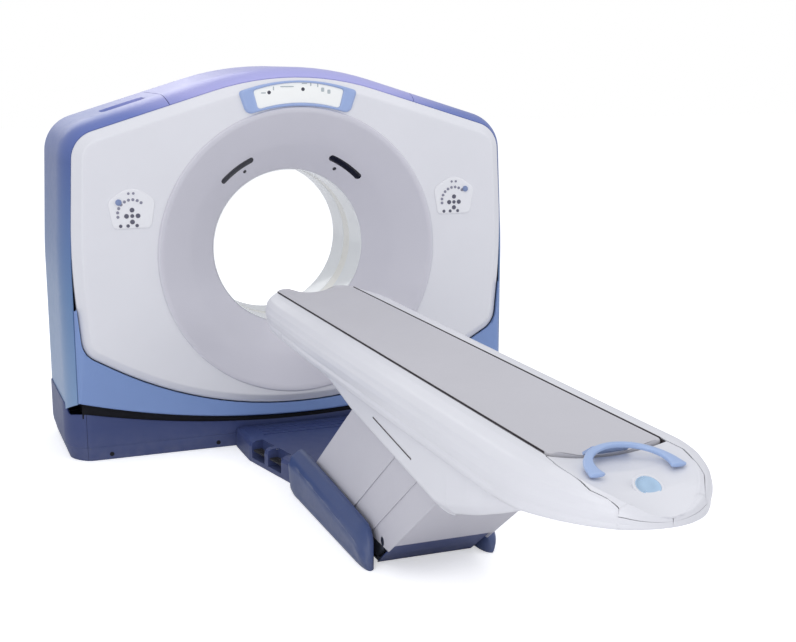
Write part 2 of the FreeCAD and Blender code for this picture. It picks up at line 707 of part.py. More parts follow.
def slip_ring_brushes():
    """Two brush blocks on brackets, reaching in to the slip ring's tracks."""
    r0 = ROTOR_BORE_R + ROTOR_WALL + 28 + 1
    block = box(-70, 70, HUB_REAR_Y - 49, HUB_REAR_Y - 4, ISO_Z + r0, ISO_Z + r0 + 46)
    bore = rod(V(0, HUB_REAR_Y - 60, ISO_Z), Y_AXIS, r0, 80)
    block = block.cut(bore)
    arm = box(-30, 30, HUB_REAR_Y - 49, HUB_REAR_Y - 12, ISO_Z + r0 + 30, ISO_Z + RACE_R + 90)
    arm = arm.common(rod(V(0, 0, ISO_Z), Y_AXIS, RACE_R + BEARING_GAP + 38, 300))
    pair = fuse([block, arm])
    second = pair.copy()
    second.rotate(ISO, Y_AXIS, 180)
    return [pair, second]


def tilt_frame():
    """A welded ring plate with a stiffening rim, side arms and the trunnion shafts."""
    seat = RACE_R + BEARING_GAP + 38 + 0.3
    form = mirrored([(0, 770, 0), (560, 735, 120), (880, 470, 120), (ARM_X - 60, 0, 300),
                     (880, -430, 120), (560, -690, 120), (0, -800, 0)])
    plate = slab(form, across_y(FRAME_Y), V(0, FRAME_T, 0))
    rim = slab(form, across_y(FRAME_Y + FRAME_T - 1), V(0, 70, 0))
    rim = rim.cut(slab(grown(form, -16), across_y(FRAME_Y + FRAME_T - 2), V(0, 80, 0)))
    bore = rod(V(0, FRAME_Y - 10, ISO_Z), Y_AXIS, seat, 100)
    inner_ring = ring(seat + 16, seat, FRAME_Y + FRAME_T - 1, FRAME_Y + FRAME_T + 56)
    webs = []
    for k in range(8):
        web = box(-6, 6, FRAME_Y + FRAME_T - 1, FRAME_Y + FRAME_T + 50, ISO_Z + seat + 4, ISO_Z + 715)
        web.rotate(ISO, Y_AXIS, 22.5 + 45 * k)
        webs.append(web)
    arms = []
    for side in (-1, 1):
        flank = [(-70, -90, 20), (FRAME_Y + FRAME_T + 60, -150, 20), (FRAME_Y + FRAME_T + 60, 150, 20),
                 (-70, 90, 20)]
        arm = slab(flank, lambda a, b: V(side * (ROTOR_R + 45), a, ISO_Z + b),
                   V(side * (ARM_X - ROTOR_R - 45), 0, 0))
        shaft = rod(V(side * (ARM_X - 30), 0, ISO_Z), V(side, 0, 0), TRUNNION_R,
                    PYLON_X + PYLON_W - ARM_X + 28)
        arms += [arm, shaft]
    return fuse([plate.cut(bore), rim, inner_ring] + webs + arms + cover_carriers())


def cover_carriers():
    """Struts from the tilt frame out to the shell above, at the sides and underneath."""
    y0, y1 = FRAME_Y + FRAME_T - 1, FRAME_Y + FRAME_T + 60
    struts = []
    for side in (-1, 1):
        struts.append(box(*sorted((side * 330, side * 370)), y0, y1, ISO_Z + 700, ISO_Z + 1000))
        struts.append(box(*sorted((side * 850, side * 1200)), y0, y1, ISO_Z + 300, ISO_Z + 340))
    upper = Part.makeCompound(struts).common(body_solid(SHELL_WALL + SEAT_GAP))
    feet = [box(*sorted((side * 280, side * 320)), y0, y1, ISO_Z - 1000, ISO_Z - 700) for side in (-1, 1)]
    lower = Part.makeCompound(feet).common(barrel(BODY_R - 1 - COVER_WALL - SEAT_GAP, BODY_BULGE_R))
    return upper.Solids + lower.Solids


# ---- gantry base ----
def pylon():
    """A fabricated column, a thick plate at the foot, that widens to the bearing head inside the shell."""
    foot, head = PYLON_HALF_Y, PYLON_HEAD_HALF
    side = [(-foot, 12, 0), (foot, 12, 0), (foot, 310, 60), (head, 700, 60), (head, ISO_Z + 20, 40),
            (head - 20, ISO_Z + 95, 30), (-head + 20, ISO_Z + 95, 30), (-head, ISO_Z + 20, 40),
            (-head, 700, 60), (-foot, 310, 60)]
    column = slab(side, at_x(PYLON_FOOT_X), V(PYLON_X + PYLON_W - PYLON_FOOT_X, 0, 0))
    x0, x1 = PYLON_FOOT_X, PYLON_X + PYLON_W
    front = [(x0, 12, 0), (x0 + PYLON_FOOT_W, 12, 0), (x0 + PYLON_FOOT_W, 345, 40), (x1, 430, 40),
             (x1, ISO_Z + 95, 0), (PYLON_X, ISO_Z + 95, 0), (PYLON_X, 650, 60), (x0, 500, 60)]
    column = column.common(slab(front, at_y(-head - 5), V(0, 2 * head + 10, 0)))
    pocket = [(-14, 480, 8), (14, 480, 8), (head - 24, 700, 40), (head - 24, ISO_Z - 95, 20),
              (-head + 24, ISO_Z - 95, 20), (-head + 24, 700, 40)]
    column = column.cut(slab(pocket, at_x(PYLON_X + 14), V(PYLON_W - 28, 0, 0)))
    return column.cut(rod(V(PYLON_X - 5, 0, ISO_Z), X_AXIS, TRUNNION_R + 20.3, PYLON_W + 10))


def base_frame():
    """Floor plates, cross beams, side cover brackets and the two pylons, welded up as one."""
    plate = box(PYLON_X - 150, PYLON_X + 78, -330, 330, 0, FLOOR_PLATE_T)
    beams = []
    for side in (-1, 1):
        wall = BASE_FACE_Y - BASE_WALL - SEAT_GAP
        y0, y1 = sorted((side * (wall - 62), side * wall))
        tubular = box(-PYLON_X - 60, PYLON_X + 60, y0, y1, 0.0, 66)
        tubular = tubular.cut(box(-PYLON_X - 70, PYLON_X + 70, y0 + 6, y1 - 6, 6, 60))
        beams.append(tubular)
    gusset = slab([(-200, FLOOR_PLATE_T - 1, 0), (200, FLOOR_PLATE_T - 1, 0), (PYLON_HALF_Y, 118, 0),
                   (-PYLON_HALF_Y, 118, 0)], at_x(PYLON_X - 10), V(12, 0, 0))
    outriggers = [box(PYLON_X - 20, BASE_SIDE_X, y - 6, y + 6, FLOOR_PLATE_T - 4, 170) for y in (-240, 0, 240)]
    sides = []
    for part in [plate, pylon(), gusset] + outriggers:
        sides += both(part)
    d = BASE_WALL + SEAT_GAP
    half = [(BASE_SIDE_X - d, 2200, 0), (BASE_SIDE_X - d, 190, 70), (BASE_FOOT_X + 62 - d, 66, 110),
            (BASE_FOOT_X - d, 0.0, 0)]
    room = slab(half + [(-a, b, r) for a, b, r in reversed(half)], at_y(-400), V(0, 800, 0))
    frame = fuse(sides + beams).common(room)
    bores = []
    for x in (-ANCHOR_X, ANCHOR_X):
        for y in (-ANCHOR_Y, ANCHOR_Y):
            bores.append(rod(V(x, y, -1), Z_AXIS, ANCHOR_R, 30))
    return frame.cut(Part.makeCompound(bores))


def trunnion_bearing():
    """A plain bush pressed in the pylon head."""
    return tube(V(PYLON_X, 0, ISO_Z), X_AXIS, TRUNNION_R + 20, TRUNNION_R + RUNNING_GAP, PYLON_W)


def tilt_gearmotor():
    """The gearbox on the outer face of the right-hand pylon, and its motor in front."""
    x = PYLON_X + PYLON_W + 0.3
    case = slab([(-95, -85, 30), (85, -85, 30), (85, 85, 30), (-95, 85, 30)],
                lambda a, b: V(x, a, ISO_Z + b), V(38, 0, 0))
    motor = rod(V(x + 24, -80, ISO_Z), V(0, -1, 0), 36, 150)
    fins = [rod(V(x + 24, -120 - 22 * k, ISO_Z), V(0, -1, 0), 40, 6) for k in range(4)]
    return fuse([case.cut(rod(V(x - 1, 0, ISO_Z), X_AXIS, TRUNNION_R + 2, 12)), motor] + fins)


def base_tub():
    """The four base covers before they are parted: an open tub round the tilting body."""
    half = [(BASE_SIDE_X, BASE_SIDE_TOP, 0), (BASE_SIDE_X, 190, 70), (BASE_FOOT_X + 62, 66, 110),
            (BASE_FOOT_X, 0.0, 0)]
    section = half + [(-a, b, r) for a, b, r in reversed(half)]
    outer = slab(section, at_y(-BASE_FACE_Y), V(0, 2 * BASE_FACE_Y, 0))
    inner_half = [(a - BASE_WALL, b, r) for a, b, r in half]
    inner_half[0] = (BASE_SIDE_X - BASE_WALL, BASE_SIDE_TOP + 10, 0)
    inner_half[-1] = (BASE_FOOT_X - BASE_WALL, -10, 0)
    inner_section = inner_half + [(-a, b, r) for a, b, r in reversed(inner_half)]
    inner = slab(inner_section, at_y(-BASE_FACE_Y + BASE_WALL), V(0, 2 * (BASE_FACE_Y - BASE_WALL), 0))
    plan = [(-BASE_SIDE_X, -BASE_FACE_Y, 70), (BASE_SIDE_X, -BASE_FACE_Y, 70),
            (BASE_SIDE_X, BASE_FACE_Y, 70), (-BASE_SIDE_X, BASE_FACE_Y, 70)]
    ends = slab(plan, at_z(-5), V(0, 0, 700))
    room = slab(grown(plan, -BASE_WALL), at_z(-5), V(0, 0, 700))
    tub = outer.common(ends).cut(inner.common(room))
    sweep = barrel(BODY_R + BASE_GAP, BASE_BULGE_R)
    return tub.cut(sweep.common(box(-BASE_SWEEP_X, BASE_SWEEP_X, -600, 600, 0, ISO_Z)))


def base_cover(tub, where):
    seam_x = BASE_SIDE_X - 95
    gap = PANEL_GAP / 2
    rooms = {
        "front": box(-seam_x + gap, seam_x - gap, -600, 0, -5, 700),
        "rear": box(-seam_x + gap, seam_x - gap, 0, 600, -5, 700),
        "left": box(-1300, -seam_x - gap, -600, 600, -5, 700),
        "right": box(seam_x + gap, 1300, -600, 600, -5, 700),
    }
    return tub.common(rooms[where])


# ---- table: dock and base ----
def dock_plan(inset):
    front = -BASE_FACE_Y - 0.3
    return mirrored([
        (DOCK_X - inset, front - inset, 12), (DOCK_X - inset, -620, 60),
        (DOCK_NECK_X - inset, -1010, 80), (DOCK_NECK_X - 30 - inset, DOCK_END_Y + inset, 25),
    ])


def pedal_axis(index, side):
    """Where a pedal's hinge lies: a point on the dock's flank and the flank's direction."""
    flank = V(DOCK_NECK_X - DOCK_X, -1010 + 620, 0).normalize()
    start = V(DOCK_X, -620, 0)
    point = start + flank * (95 + 165 * index) + V(flank.y, -flank.x, 0).normalize() * 6
    return V(side * point.x, point.y, PEDAL_Z), V(side * flank.x, flank.y, 0)


def pedal_frame(shape, index, side):
    """Places a pedal piece that was drawn along +Y, outwards along +X."""
    point, flank = pedal_axis(index, side)
    angle = math.degrees(math.atan2(flank.y, flank.x)) + 90
    if side < 0:
        shape = flip(shape)
    shape.rotate(V(0, 0, 0), Z_AXIS, angle)
    shape.translate(point)
    return shape


def dock_cover():
    """A low cover over the cables between gantry and table, with pedal bays in its flanks."""
    outer = skin([outline(dock_plan(0), at_z(0)), outline(dock_plan(0), at_z(DOCK_Z - 26)),
                  outline(dock_plan(7), at_z(DOCK_Z - 8)), outline(dock_plan(24), at_z(DOCK_Z))])
    inner = skin([outline(dock_plan(COVER_WALL), at_z(-2)),
                  outline(dock_plan(COVER_WALL), at_z(DOCK_Z - 27)),
                  outline(dock_plan(12), at_z(DOCK_Z - 12)),
                  outline(dock_plan(29), at_z(DOCK_Z - COVER_WALL))])
    grooves = [box(-240, 240, -BASE_FACE_Y - 70 - 46 * k, -BASE_FACE_Y - 58 - 46 * k,
                   DOCK_Z - 3, DOCK_Z + 5) for k in range(4)]
    cover = outer.cut(inner).cut(Part.makeCompound(grooves))
    for side in (-1, 1):
        for index in (0, 1):
            bay = box(-PEDAL_W - 8, 60, -PEDAL_L / 2 - 6, PEDAL_L / 2 + 6, -36, 80)
            wall = box(-PEDAL_W - 12, 4, -PEDAL_L / 2 - 10, PEDAL_L / 2 + 10, -40, 40)
            cover = cover.fuse(pedal_frame(wall, index, side)).cut(pedal_frame(bay, index, side))
            pins = []
            for end in (-1, 1):
                pins.append(rod(V(-PEDAL_W + 4, end * (PEDAL_L / 2 - 4), 0), V(0, end, 0), 3, 12))
            cover = cover.fuse([pedal_frame(p, index, side) for p in pins])
    return cover.common(box(-500, 500, -1300, -BASE_FACE_Y, 0, 400))


def pedal(index, side):
    """A foot pedal: a ribbed tread hinged on its inner edge."""
    w, half = PEDAL_W, PEDAL_L / 2
    section = [(-w - 2, -6, 5.5), (-w + 10, -6, 3), (0, -3, 3), (0, 5, 3), (-w + 10, 6, 6), (-w - 2, 6, 5.5)]
    body = slab(section, lambda a, b: V(a, -half, b), V(0, PEDAL_L, 0))
    ribs = [box(-w + 16, -4, -half + 12 + 12 * k, -half + 17 + 12 * k, 3, 8) for k in range(8)]
    body = fuse([body] + ribs)
    body = body.cut(rod(V(-w + 4, -half - 5, 0), Y_AXIS, 3.1, PEDAL_L + 10))
    return pedal_frame(body, index, side)


def foot_cover():
    """A long low fairing beside the pedestal, with a bevelled top and a grip recess."""
    inner, outer = FOOT_COVER_IN, FOOT_COVER_X
    front, rear = FOOT_FRONT_Y, FOOT_REAR_Y

    def section(y, top):
        return outline([(inner, 0, 0), (outer - 10, 0, 0), (outer, top * 0.5, 60), (outer - 24, top - 14, 22),
                        (outer - 50, top, 14), (inner, top, 0)], at_y(y))

    body = skin([section(front, FOOT_FRONT_Z), section(rear, FOOT_REAR_Z)])
    plan = [(inner, front, 0), (outer, front, 62), (outer, rear, 45), (inner, rear, 0)]
    side = [(front, 0, 0), (front - 6, 120, 80), (front - 70, FOOT_FRONT_Z, 70), (rear + 45, FOOT_REAR_Z + 8, 60),
            (rear, 90, 30), (rear, 0, 0)]
    body = body.common(slab(plan, at_z(-1), V(0, 0, 400))).common(slab(side, at_x(0), V(400, 0, 0)))
    scoop = slab([(front - 250, 60, 20), (rear + 150, 40, 14), (rear + 150, 78, 14), (front - 250, 118, 20)],
                 at_x(outer - 12), V(30, 0, 0))
    return body.cut(scoop)


def table_base_frame():
    """A floor plate with two side plates that carry the leg shafts and the panel pins."""
    plate = slab(mirrored([(195, DOCK_END_Y - SEAT_GAP, 0), (195, kick_line(0) + KICK_T + 3.6, 0)]), at_z(0),
                 V(0, 0, FLOOR_PLATE_T))
    x = SIDE_PLATE_X
    outline_side = [(-1250, FLOOR_PLATE_T - 1, 0), (-1330, 150, 40), (-1500, LEG_FOOT_Z + 44, 40),
                    (-2060, LEG_FOOT_Z + 44, 40), (REAR_LEG_Y, LEG_FOOT_Z + 40, 0), (-2112, 76, 0),
                    (-2040, FLOOR_PLATE_T - 1, 0)]
    side = slab(outline_side, at_x(x), V(SIDE_PLATE_T, 0, 0))
    side = side.fuse(rod(V(x, REAR_LEG_Y, LEG_FOOT_Z), X_AXIS, 40, SIDE_PLATE_T))
    for y in (FRONT_LEG_Y, REAR_LEG_Y):
        side = side.cut(rod(V(x - 5, y, LEG_FOOT_Z), X_AXIS, LEG_SHAFT_R + RUNNING_GAP, SIDE_PLATE_T + 10))
    pins = []
    for y, end in ((SIDE_PANEL_1_Y, PEDESTAL_X), (SIDE_PANEL_2_Y, PEDESTAL_X - PANEL_STEP)):
        pins.append(rod(V(x + SIDE_PLATE_T - 6, y, LEG_FOOT_Z), X_AXIS, 10, end - x - SIDE_PLATE_T + 6))
    arms = [box(x - 10, FOOT_COVER_IN - SEAT_GAP, y - 16, y + 16, 0, 28) for y in (SIDE_PANEL_1_Y, SIDE_PANEL_2_Y)]
    half = fuse([side] + pins + arms)
    beam = box(-x, x, -1700, -1650, FLOOR_PLATE_T - 1, 62)
    anchors = [rod(V(sx * 110, y, -1), Z_AXIS, ANCHOR_R, 30) for sx in (-1, 1) for y in (-1500, -2000)]
    return fuse([plate, half, flip(half), beam]).cut(Part.makeCompound(anchors))


def kick_line(z):
    """Y of the kick plate's outer face, just inside the plane of the pedestal's rear face."""
    return face_line(REAR_LEG_Y, REAR_OUT, z) + 12


def kick_plate():
    """The plate that closes the foot end of the base, leaning with the pedestal."""
    t = KICK_T / math.sin(LEAN)
    return slab([(kick_line(0), 0, 0), (kick_line(KICK_Z), KICK_Z, 0), (kick_line(KICK_Z) + t, KICK_Z, 0),
                 (kick_line(0) + t, 0, 0)], at_x(-KICK_X), V(2 * KICK_X, 0, 0))


def lift_gearmotor():
    """The lift drive: a gearbox on the front leg's shaft, with a cross-mounted motor."""
    y, z = FRONT_LEG_Y, LEG_FOOT_Z
    case = slab([(y - 42, z - 40, 20), (y + 120, z - 84, 14), (y + 120, z - 20, 14), (y + 10, z + 44, 30),
                 (y - 42, z + 44, 20)], at_x(148), V(SIDE_PLATE_X - 148 - 0.3, 0, 0))
    case = case.cut(rod(V(140, y, z), X_AXIS, LEG_SHAFT_R + 0.4, 50))
    motor = rod(V(-60, y + 86, z - 48), X_AXIS, 34, 209)
    foot = box(-30, 90, y + 60, y + 112, FLOOR_PLATE_T + 0.3, z - 76)
    return fuse([case, motor, foot])


# ---- table: legs and pedestal panels ----
def along_leg(y_pivot, u, v):
    """A point u along a leg from its lower pivot and v square to it, towards the foot end."""
    return V(0, y_pivot - u * math.cos(LEAN) - v * math.sin(LEAN),
             LEG_FOOT_Z + u * math.sin(LEAN) - v * math.cos(LEAN))


def leg(y_pivot, shaft_reach, upper_gap):
    """Two bars, a web and two tubular eyes, with the lower shaft welded in.

    The notch in each bar is where it comes down over the kick plate with the table lowered.
    """
    low, high = along_leg(y_pivot, 0, 0), along_leg(y_pivot, LEG_L, 0)
    x = LEG_BAR_X
    side = []
    notch = [(112, 26, 0), (112, -2, 8), (88, -2, 8), (32, 26, 0)]
    for u, v, r in [(0, -26, 0), (LEG_L, -26, 0), (LEG_L, 26, 0)] + notch + [(0, 26, 0)]:
        p = along_leg(y_pivot, u, v)
        side.append((p.y, p.z, r))
    bars = []
    for x0 in (x, -x - LEG_BAR_T):
        bars.append(slab(side, at_x(x0), V(LEG_BAR_T, 0, 0)))
    web_side = []
    for u, v in ((118, -5), (LEG_L - 60, -5), (LEG_L - 60, 5), (118, 5)):
        p = along_leg(y_pivot, u, v)
        web_side.append((p.y, p.z, 0))
    web = slab(web_side, at_x(-x - 1), V(2 * x + 2, 0, 0))
    eye = x + LEG_BAR_T + 4
    low_eye = rod(V(-eye, low.y, low.z), X_AXIS, LEG_EYE_R, 2 * eye)
    high_eye = rod(V(-eye, high.y, high.z), X_AXIS, LEG_EYE_R, 2 * eye)
    shaft = rod(V(-shaft_reach, low.y, low.z), X_AXIS, LEG_SHAFT_R, 2 * shaft_reach)
    piece = fuse(bars + [web, low_eye, high_eye, shaft])
    return piece.cut(rod(V(-eye - 1, high.y, high.z), X_AXIS, LEG_SHAFT_R + upper_gap, 2 * eye + 2))


def face_line(y_pivot, v, z):
    """Y where the line square-off v from a leg's line stands at height z."""
    p = along_leg(y_pivot, 0, v)
    return p.y - (z - p.z) / math.tan(LEAN)


def leaning_panel(y_pivot, v0, v1, z0, z1, x):
    """A flat panel between two lines that lean with the legs."""
    corners = [(face_line(y_pivot, v0, z0), z0, 8), (face_line(y_pivot, v1, z0), z0, 8),
               (face_line(y_pivot, v1, z1), z1, 8), (face_line(y_pivot, v0, z1), z1, 8)]
    return slab(corners, at_x(x), V(PANEL_T, 0, 0))


def panel_limits():
    """Where each overlapping panel starts and ends, square to the legs, from its own pivot."""
    rest, high = math.sin(LEAN), math.sin(LEAN + math.radians(LIFT_UP))
    s1, s2, s3 = (FRONT_LEG_Y - y for y in (SIDE_PANEL_1_Y, SIDE_PANEL_2_Y, REAR_LEG_Y))
    seam_1 = -FACE_OUT + SEAM_1 * rest
    seam_2 = seam_1 + SEAM_2 * rest
    first = (-FACE_OUT - s1 * rest, seam_1 - s1 * rest)
    second_end = seam_2 - s2 * rest
    second_start = s1 * high + first[1] - OVERLAP - s2 * high
    third_start = s2 * high + second_end - OVERLAP - s3 * high
    return first, (second_start, second_end), (third_start, REAR_OUT)


def side_panels(y_pivot, limits, plane):
    """A pair of flat side panels, each on a pin at its foot."""
    x = PEDESTAL_X - PANEL_T - PANEL_STEP * plane
    panel = leaning_panel(y_pivot, limits[0], limits[1], LEG_FOOT_Z - 22, 600, x)
    boss_x = SIDE_PLATE_X + SIDE_PLATE_T + 1
    boss = rod(V(boss_x, y_pivot, LEG_FOOT_Z), X_AXIS, 20, x + PANEL_T - boss_x)
    panel = fuse([panel, boss])
    return both(panel.cut(rod(V(boss_x - 5, y_pivot, LEG_FOOT_Z), X_AXIS, 10.3, 60)))


def leg_cover_front():
    """The pedestal's leaning front face, with a short return inside each side panel."""
    x = PEDESTAL_X - PANEL_T - 2 * PANEL_STEP
    top = along_leg(FRONT_LEG_Y, 600, -FACE_OUT).z
    face = []
    for u_z, v in ((118, -FACE_OUT), (top, -FACE_OUT), (top, -FACE_OUT + PANEL_T), (118, -FACE_OUT + PANEL_T)):
        face.append((face_line(FRONT_LEG_Y, v, u_z), u_z, 0))
    sheet = slab(face, at_x(-x - PANEL_T), V(2 * (x + PANEL_T), 0, 0))
    lip = leaning_panel(FRONT_LEG_Y, -FACE_OUT, -FACE_OUT + 60, 118, top, x)
    posts = []
    for u in (230, 520):
        a = along_leg(FRONT_LEG_Y, u, -26)
        corners = []
        for du, v in ((-14, -FACE_OUT + 1), (14, -FACE_OUT + 1), (14, -26.3), (-14, -26.3)):
            p = along_leg(FRONT_LEG_Y, u + du, v)
            corners.append((p.y, p.z, 0))
        posts.append(slab(corners, at_x(LEG_BAR_X), V(LEG_BAR_T, 0, 0)))
    parts = [sheet, lip, flip(lip)]
    for post in posts:
        parts += both(post)
    return fuse(parts)


def leg_cover_rear():
    """The pedestal's rear face and last side panels, folded as one, on the rear leg's shaft."""
    x = PEDESTAL_X - PANEL_T - 2 * PANEL_STEP
    start = panel_limits()[2][0]
    low, top = LEG_FOOT_Z - 18, 585
    side = leaning_panel(REAR_LEG_Y, start, REAR_OUT, low, top, x)
    side = side.cut(box(0, 300, REAR_LEG_Y + 140, REAR_LEG_Y + 400, 0, LEG_FOOT_Z + 66))
    face = []
    edge = KICK_Z + 8
    for z, v in ((edge, REAR_OUT - PANEL_T), (top, REAR_OUT - PANEL_T), (top, REAR_OUT), (edge, REAR_OUT)):
        face.append((face_line(REAR_LEG_Y, v, z), z, 0))
    sheet = slab(face, at_x(-x - PANEL_T), V(2 * (x + PANEL_T), 0, 0))
    shell = fuse([side, flip(side), sheet])
    return shell.cut(rod(V(-300, REAR_LEG_Y, LEG_FOOT_Z), X_AXIS, LEG_SHAFT_R + 0.3, 600))


# ---- table top ----
def top_station(y, w, high, low, inset):
    """One section of the upper table body, of half width w."""
    k = min(1.0, w / 300.0)
    m = min(k, (high - low) / 150.0)
    half = [(w - 88 * k, high, 8 * m), (w - 34 * k, high - 20 * m, 26 * m), (w, high - 84 * m, 34 * m),
            (w - 4 * k, low + (high - low) * 0.22, 24 * m), (w - 34 * k, low, 20 * m)]
    section = mirrored(half)
    return outline(grown(section, -inset) if inset else section, at_y(y))


TOP_STATIONS = [
    (-622, 120, 822, 730), (-642, 190, 834, 714), (-690, 246, 838, 704), (-780, 282, 838, 698),
    (-950, 300, 838, 690), (-1500, 300, 838, 672), (-3250, 300, 838, 670), (-3400, 300, 838, 682),
    (-3520, 292, 832, 698), (-3620, 268, 822, 711), (-3710, 222, 808, 724), (-3775, 160, 792, 736),
    (-3812, 95, 778, 744),
]


def top_solid(inset):
    stations = []
    for i, (y, w, high, low) in enumerate(TOP_STATIONS):
        shift = -inset if i == 0 else inset if i == len(TOP_STATIONS) - 1 else 0
        stations.append(top_station(y + shift, w, high, low, inset))
    return skin(stations)


KEEL_STATIONS = [
    (-720, 180, 690), (-860, 232, 680), (-1100, 254, 664), (-1650, KEEL_X, 618), (-1909, KEEL_X, 563),
    (-2738, KEEL_X, 459), (-2860, KEEL_X, 474), (-3010, 256, 520), (-3150, 240, 572), (-3270, 208, 624),
    (-3330, 160, 655),
]


def keel_solid(inset):
    wires = []
    for i, (y, w, low) in enumerate(KEEL_STATIONS):
        shift = -inset if i == 0 else inset if i == len(KEEL_STATIONS) - 1 else 0
        r = min(26.0, (740 - low) * 0.3)
        section = mirrored([(w, 740, 0), (w, low + r, 30 if low < 640 else 6), (w - r, low, 16 if low < 640 else 6)])
        wires.append(outline(grown(section, -inset) if inset else section, at_y(y + shift)))
    return skin(wires)


def trough():
    """The channel that the cradle lies in, and the well that the pedestal moves in."""
    channel = box(-TROUGH_X, TROUGH_X, -3500, -500, DECK_Z - 1, 900)
    well = box(-WELL_X, WELL_X, -2875, -1080, 300, DECK_Z - 2)
    return channel.fuse(well)


def lid_dish_z(y):
    """Height of the bottom of the foot end's dish, which falls towards the nose."""
    return LID_DISH_Z + LID_DISH_FALL * (y - END_SEAM_Y)


def lid_dish(inset):
    """The wide round hollow along the middle of the foot end, up to the cradle's channel."""
    start = V(0, -3000, lid_dish_z(-3000) + LID_DISH_R)
    hollow = rod(start, V(0, -1, -LID_DISH_FALL), LID_DISH_R + inset, 1000)
    return hollow.common(box(-260, 260, -4000, TROUGH_END_Y + inset, 700, 900))


def top_shell():
    form = top_solid(0).cut(lid_dish(0))
    shell = form.cut(top_solid(TABLE_WALL).cut(lid_dish(TABLE_WALL)))
    well = box(-WELL_X, WELL_X, -2880, -1080, 300, DECK_Z - 30)
    channel = box(-TROUGH_X, TROUGH_X, TROUGH_END_Y, -500, DECK_Z + DECK_T + 1, 900)
    return shell.cut(well).cut(channel)


def groove(z, y0, y1, depth):
    """A long soft groove along the table's side."""
    cut = rod(V(TABLE_X + 16 - depth, y0, z), Y_AXIS, 16, y1 - y0)
    return cut


def table_side_cover(shell, side):
    half = shell.common(box(*sorted((side * 0.75, side * 400)), -4000, -500, 300, 900))
    nose = box(-NOSE_X - SEAT_GAP, NOSE_X + SEAT_GAP, NOSE_SEAM_Y - SEAT_GAP, -500, 300, 900)
    end = box(-END_SEAM_X - SEAT_GAP, END_SEAM_X + SEAT_GAP, -4000, END_SEAM_Y + SEAT_GAP, 703 - SEAT_GAP, 900)
    return half.cut(nose).cut(end)


def table_nose_cover(shell):
    return shell.common(box(-NOSE_X, NOSE_X, NOSE_SEAM_Y, -500, 300, 900))


def table_end_cover(shell):
    """The dished lid over the foot end, with a round boss."""
    lid = shell.common(box(-END_SEAM_X, END_SEAM_X, -4000, END_SEAM_Y, 703, 900))
    boss = rod(V(0, BADGE_Y, lid_dish_z(BADGE_Y) - 3), V(0, -LID_DISH_FALL, 1), BADGE_R, 7)
    return max(lid.Solids, key=lambda s: s.Volume).fuse(boss)


def table_under_cover():
    shell = keel_solid(0).cut(keel_solid(TABLE_WALL)).cut(top_solid(-SEAT_GAP))
    shell = shell.common(box(-400, 400, -4000, -500, 300, 739))
    well = box(-WELL_X, WELL_X, -2860, -1080, 300, 900)
    return shell.cut(well)


def table_frame():
    """Two rails with cross tubes, the cradle's deck, and the brackets that sit on the legs."""
    rails = []
    for x0 in (RAIL_X, -RAIL_X - RAIL_W):
        rail = box(x0, x0 + RAIL_W, -3480, -900, 700, DECK_Z)
        rail = rail.cut(box(x0 + 5, x0 + RAIL_W - 5, -3490, -890, 705, DECK_Z - 5))
        rails += [rail, box(x0 + 6, x0 + RAIL_W - 6, -930, -700, 728, DECK_Z)]
    cross = [box(-RAIL_X - 7, RAIL_X + 7, y - 25, y + 25, 730, 758) for y in (-780, -1500, -3050, -3440)]
    deck = box(-CRADLE_X, CRADLE_X, -3500, -650, DECK_Z - 0.5, DECK_Z + DECK_T)
    parts = rails + cross + [deck]
    for y_pivot in (FRONT_LEG_Y, REAR_LEG_Y):
        top = along_leg(y_pivot, LEG_L, 0)
        ear = slab([(top.y - 38, top.z, 0), (top.y - 60, 702, 0), (top.y + 60, 702, 0), (top.y + 38, top.z, 0)],
                   at_x(RAIL_X), V(16, 0, 0))
        eye = rod(V(RAIL_X, top.y, top.z), X_AXIS, 38, 16)
        pin = rod(V(-RAIL_X - 8, top.y, top.z), X_AXIS, LEG_SHAFT_R, 2 * RAIL_X + 16)
        parts += both(ear) + both(eye) + [pin]
    return fuse(parts)


def cradle():
    """The sliding patient support: a long shallow carbon tray with a dished top."""
    base = DECK_Z + DECK_T + CRADLE_LIFT
    w = CRADLE_X
    left, right = V(-w + 14, 0, TOP_Z), V(w - 14, 0, TOP_Z)
    middle = V(0, 0, TOP_Z - CRADLE_DISH)
    sides = [
        Part.Arc(left, middle, right).toShape(),
        Part.Arc(right, V(w - 3, 0, TOP_Z - 3), V(w, 0, TOP_Z - 12)).toShape(),
        Part.LineSegment(V(w, 0, TOP_Z - 12), V(w - 34, 0, base)).toShape(),
        Part.LineSegment(V(w - 34, 0, base), V(-w + 34, 0, base)).toShape(),
        Part.LineSegment(V(-w + 34, 0, base), V(-w, 0, TOP_Z - 12)).toShape(),
        Part.Arc(V(-w, 0, TOP_Z - 12), V(-w + 3, 0, TOP_Z - 3), left).toShape(),
    ]
    length = CRADLE_HEAD_Y - CRADLE_FOOT_Y
    body = Part.Face(Part.Wire(sides)).extrude(V(0, length, 0))
    body.translate(V(0, CRADLE_FOOT_Y, 0))
    plan = [(-w, CRADLE_FOOT_Y, 24), (w, CRADLE_FOOT_Y, 24), (w, CRADLE_HEAD_Y, 60), (-w, CRADLE_HEAD_Y, 60)]
    return body.common(slab(plan, at_z(700), V(0, 0, 300)))


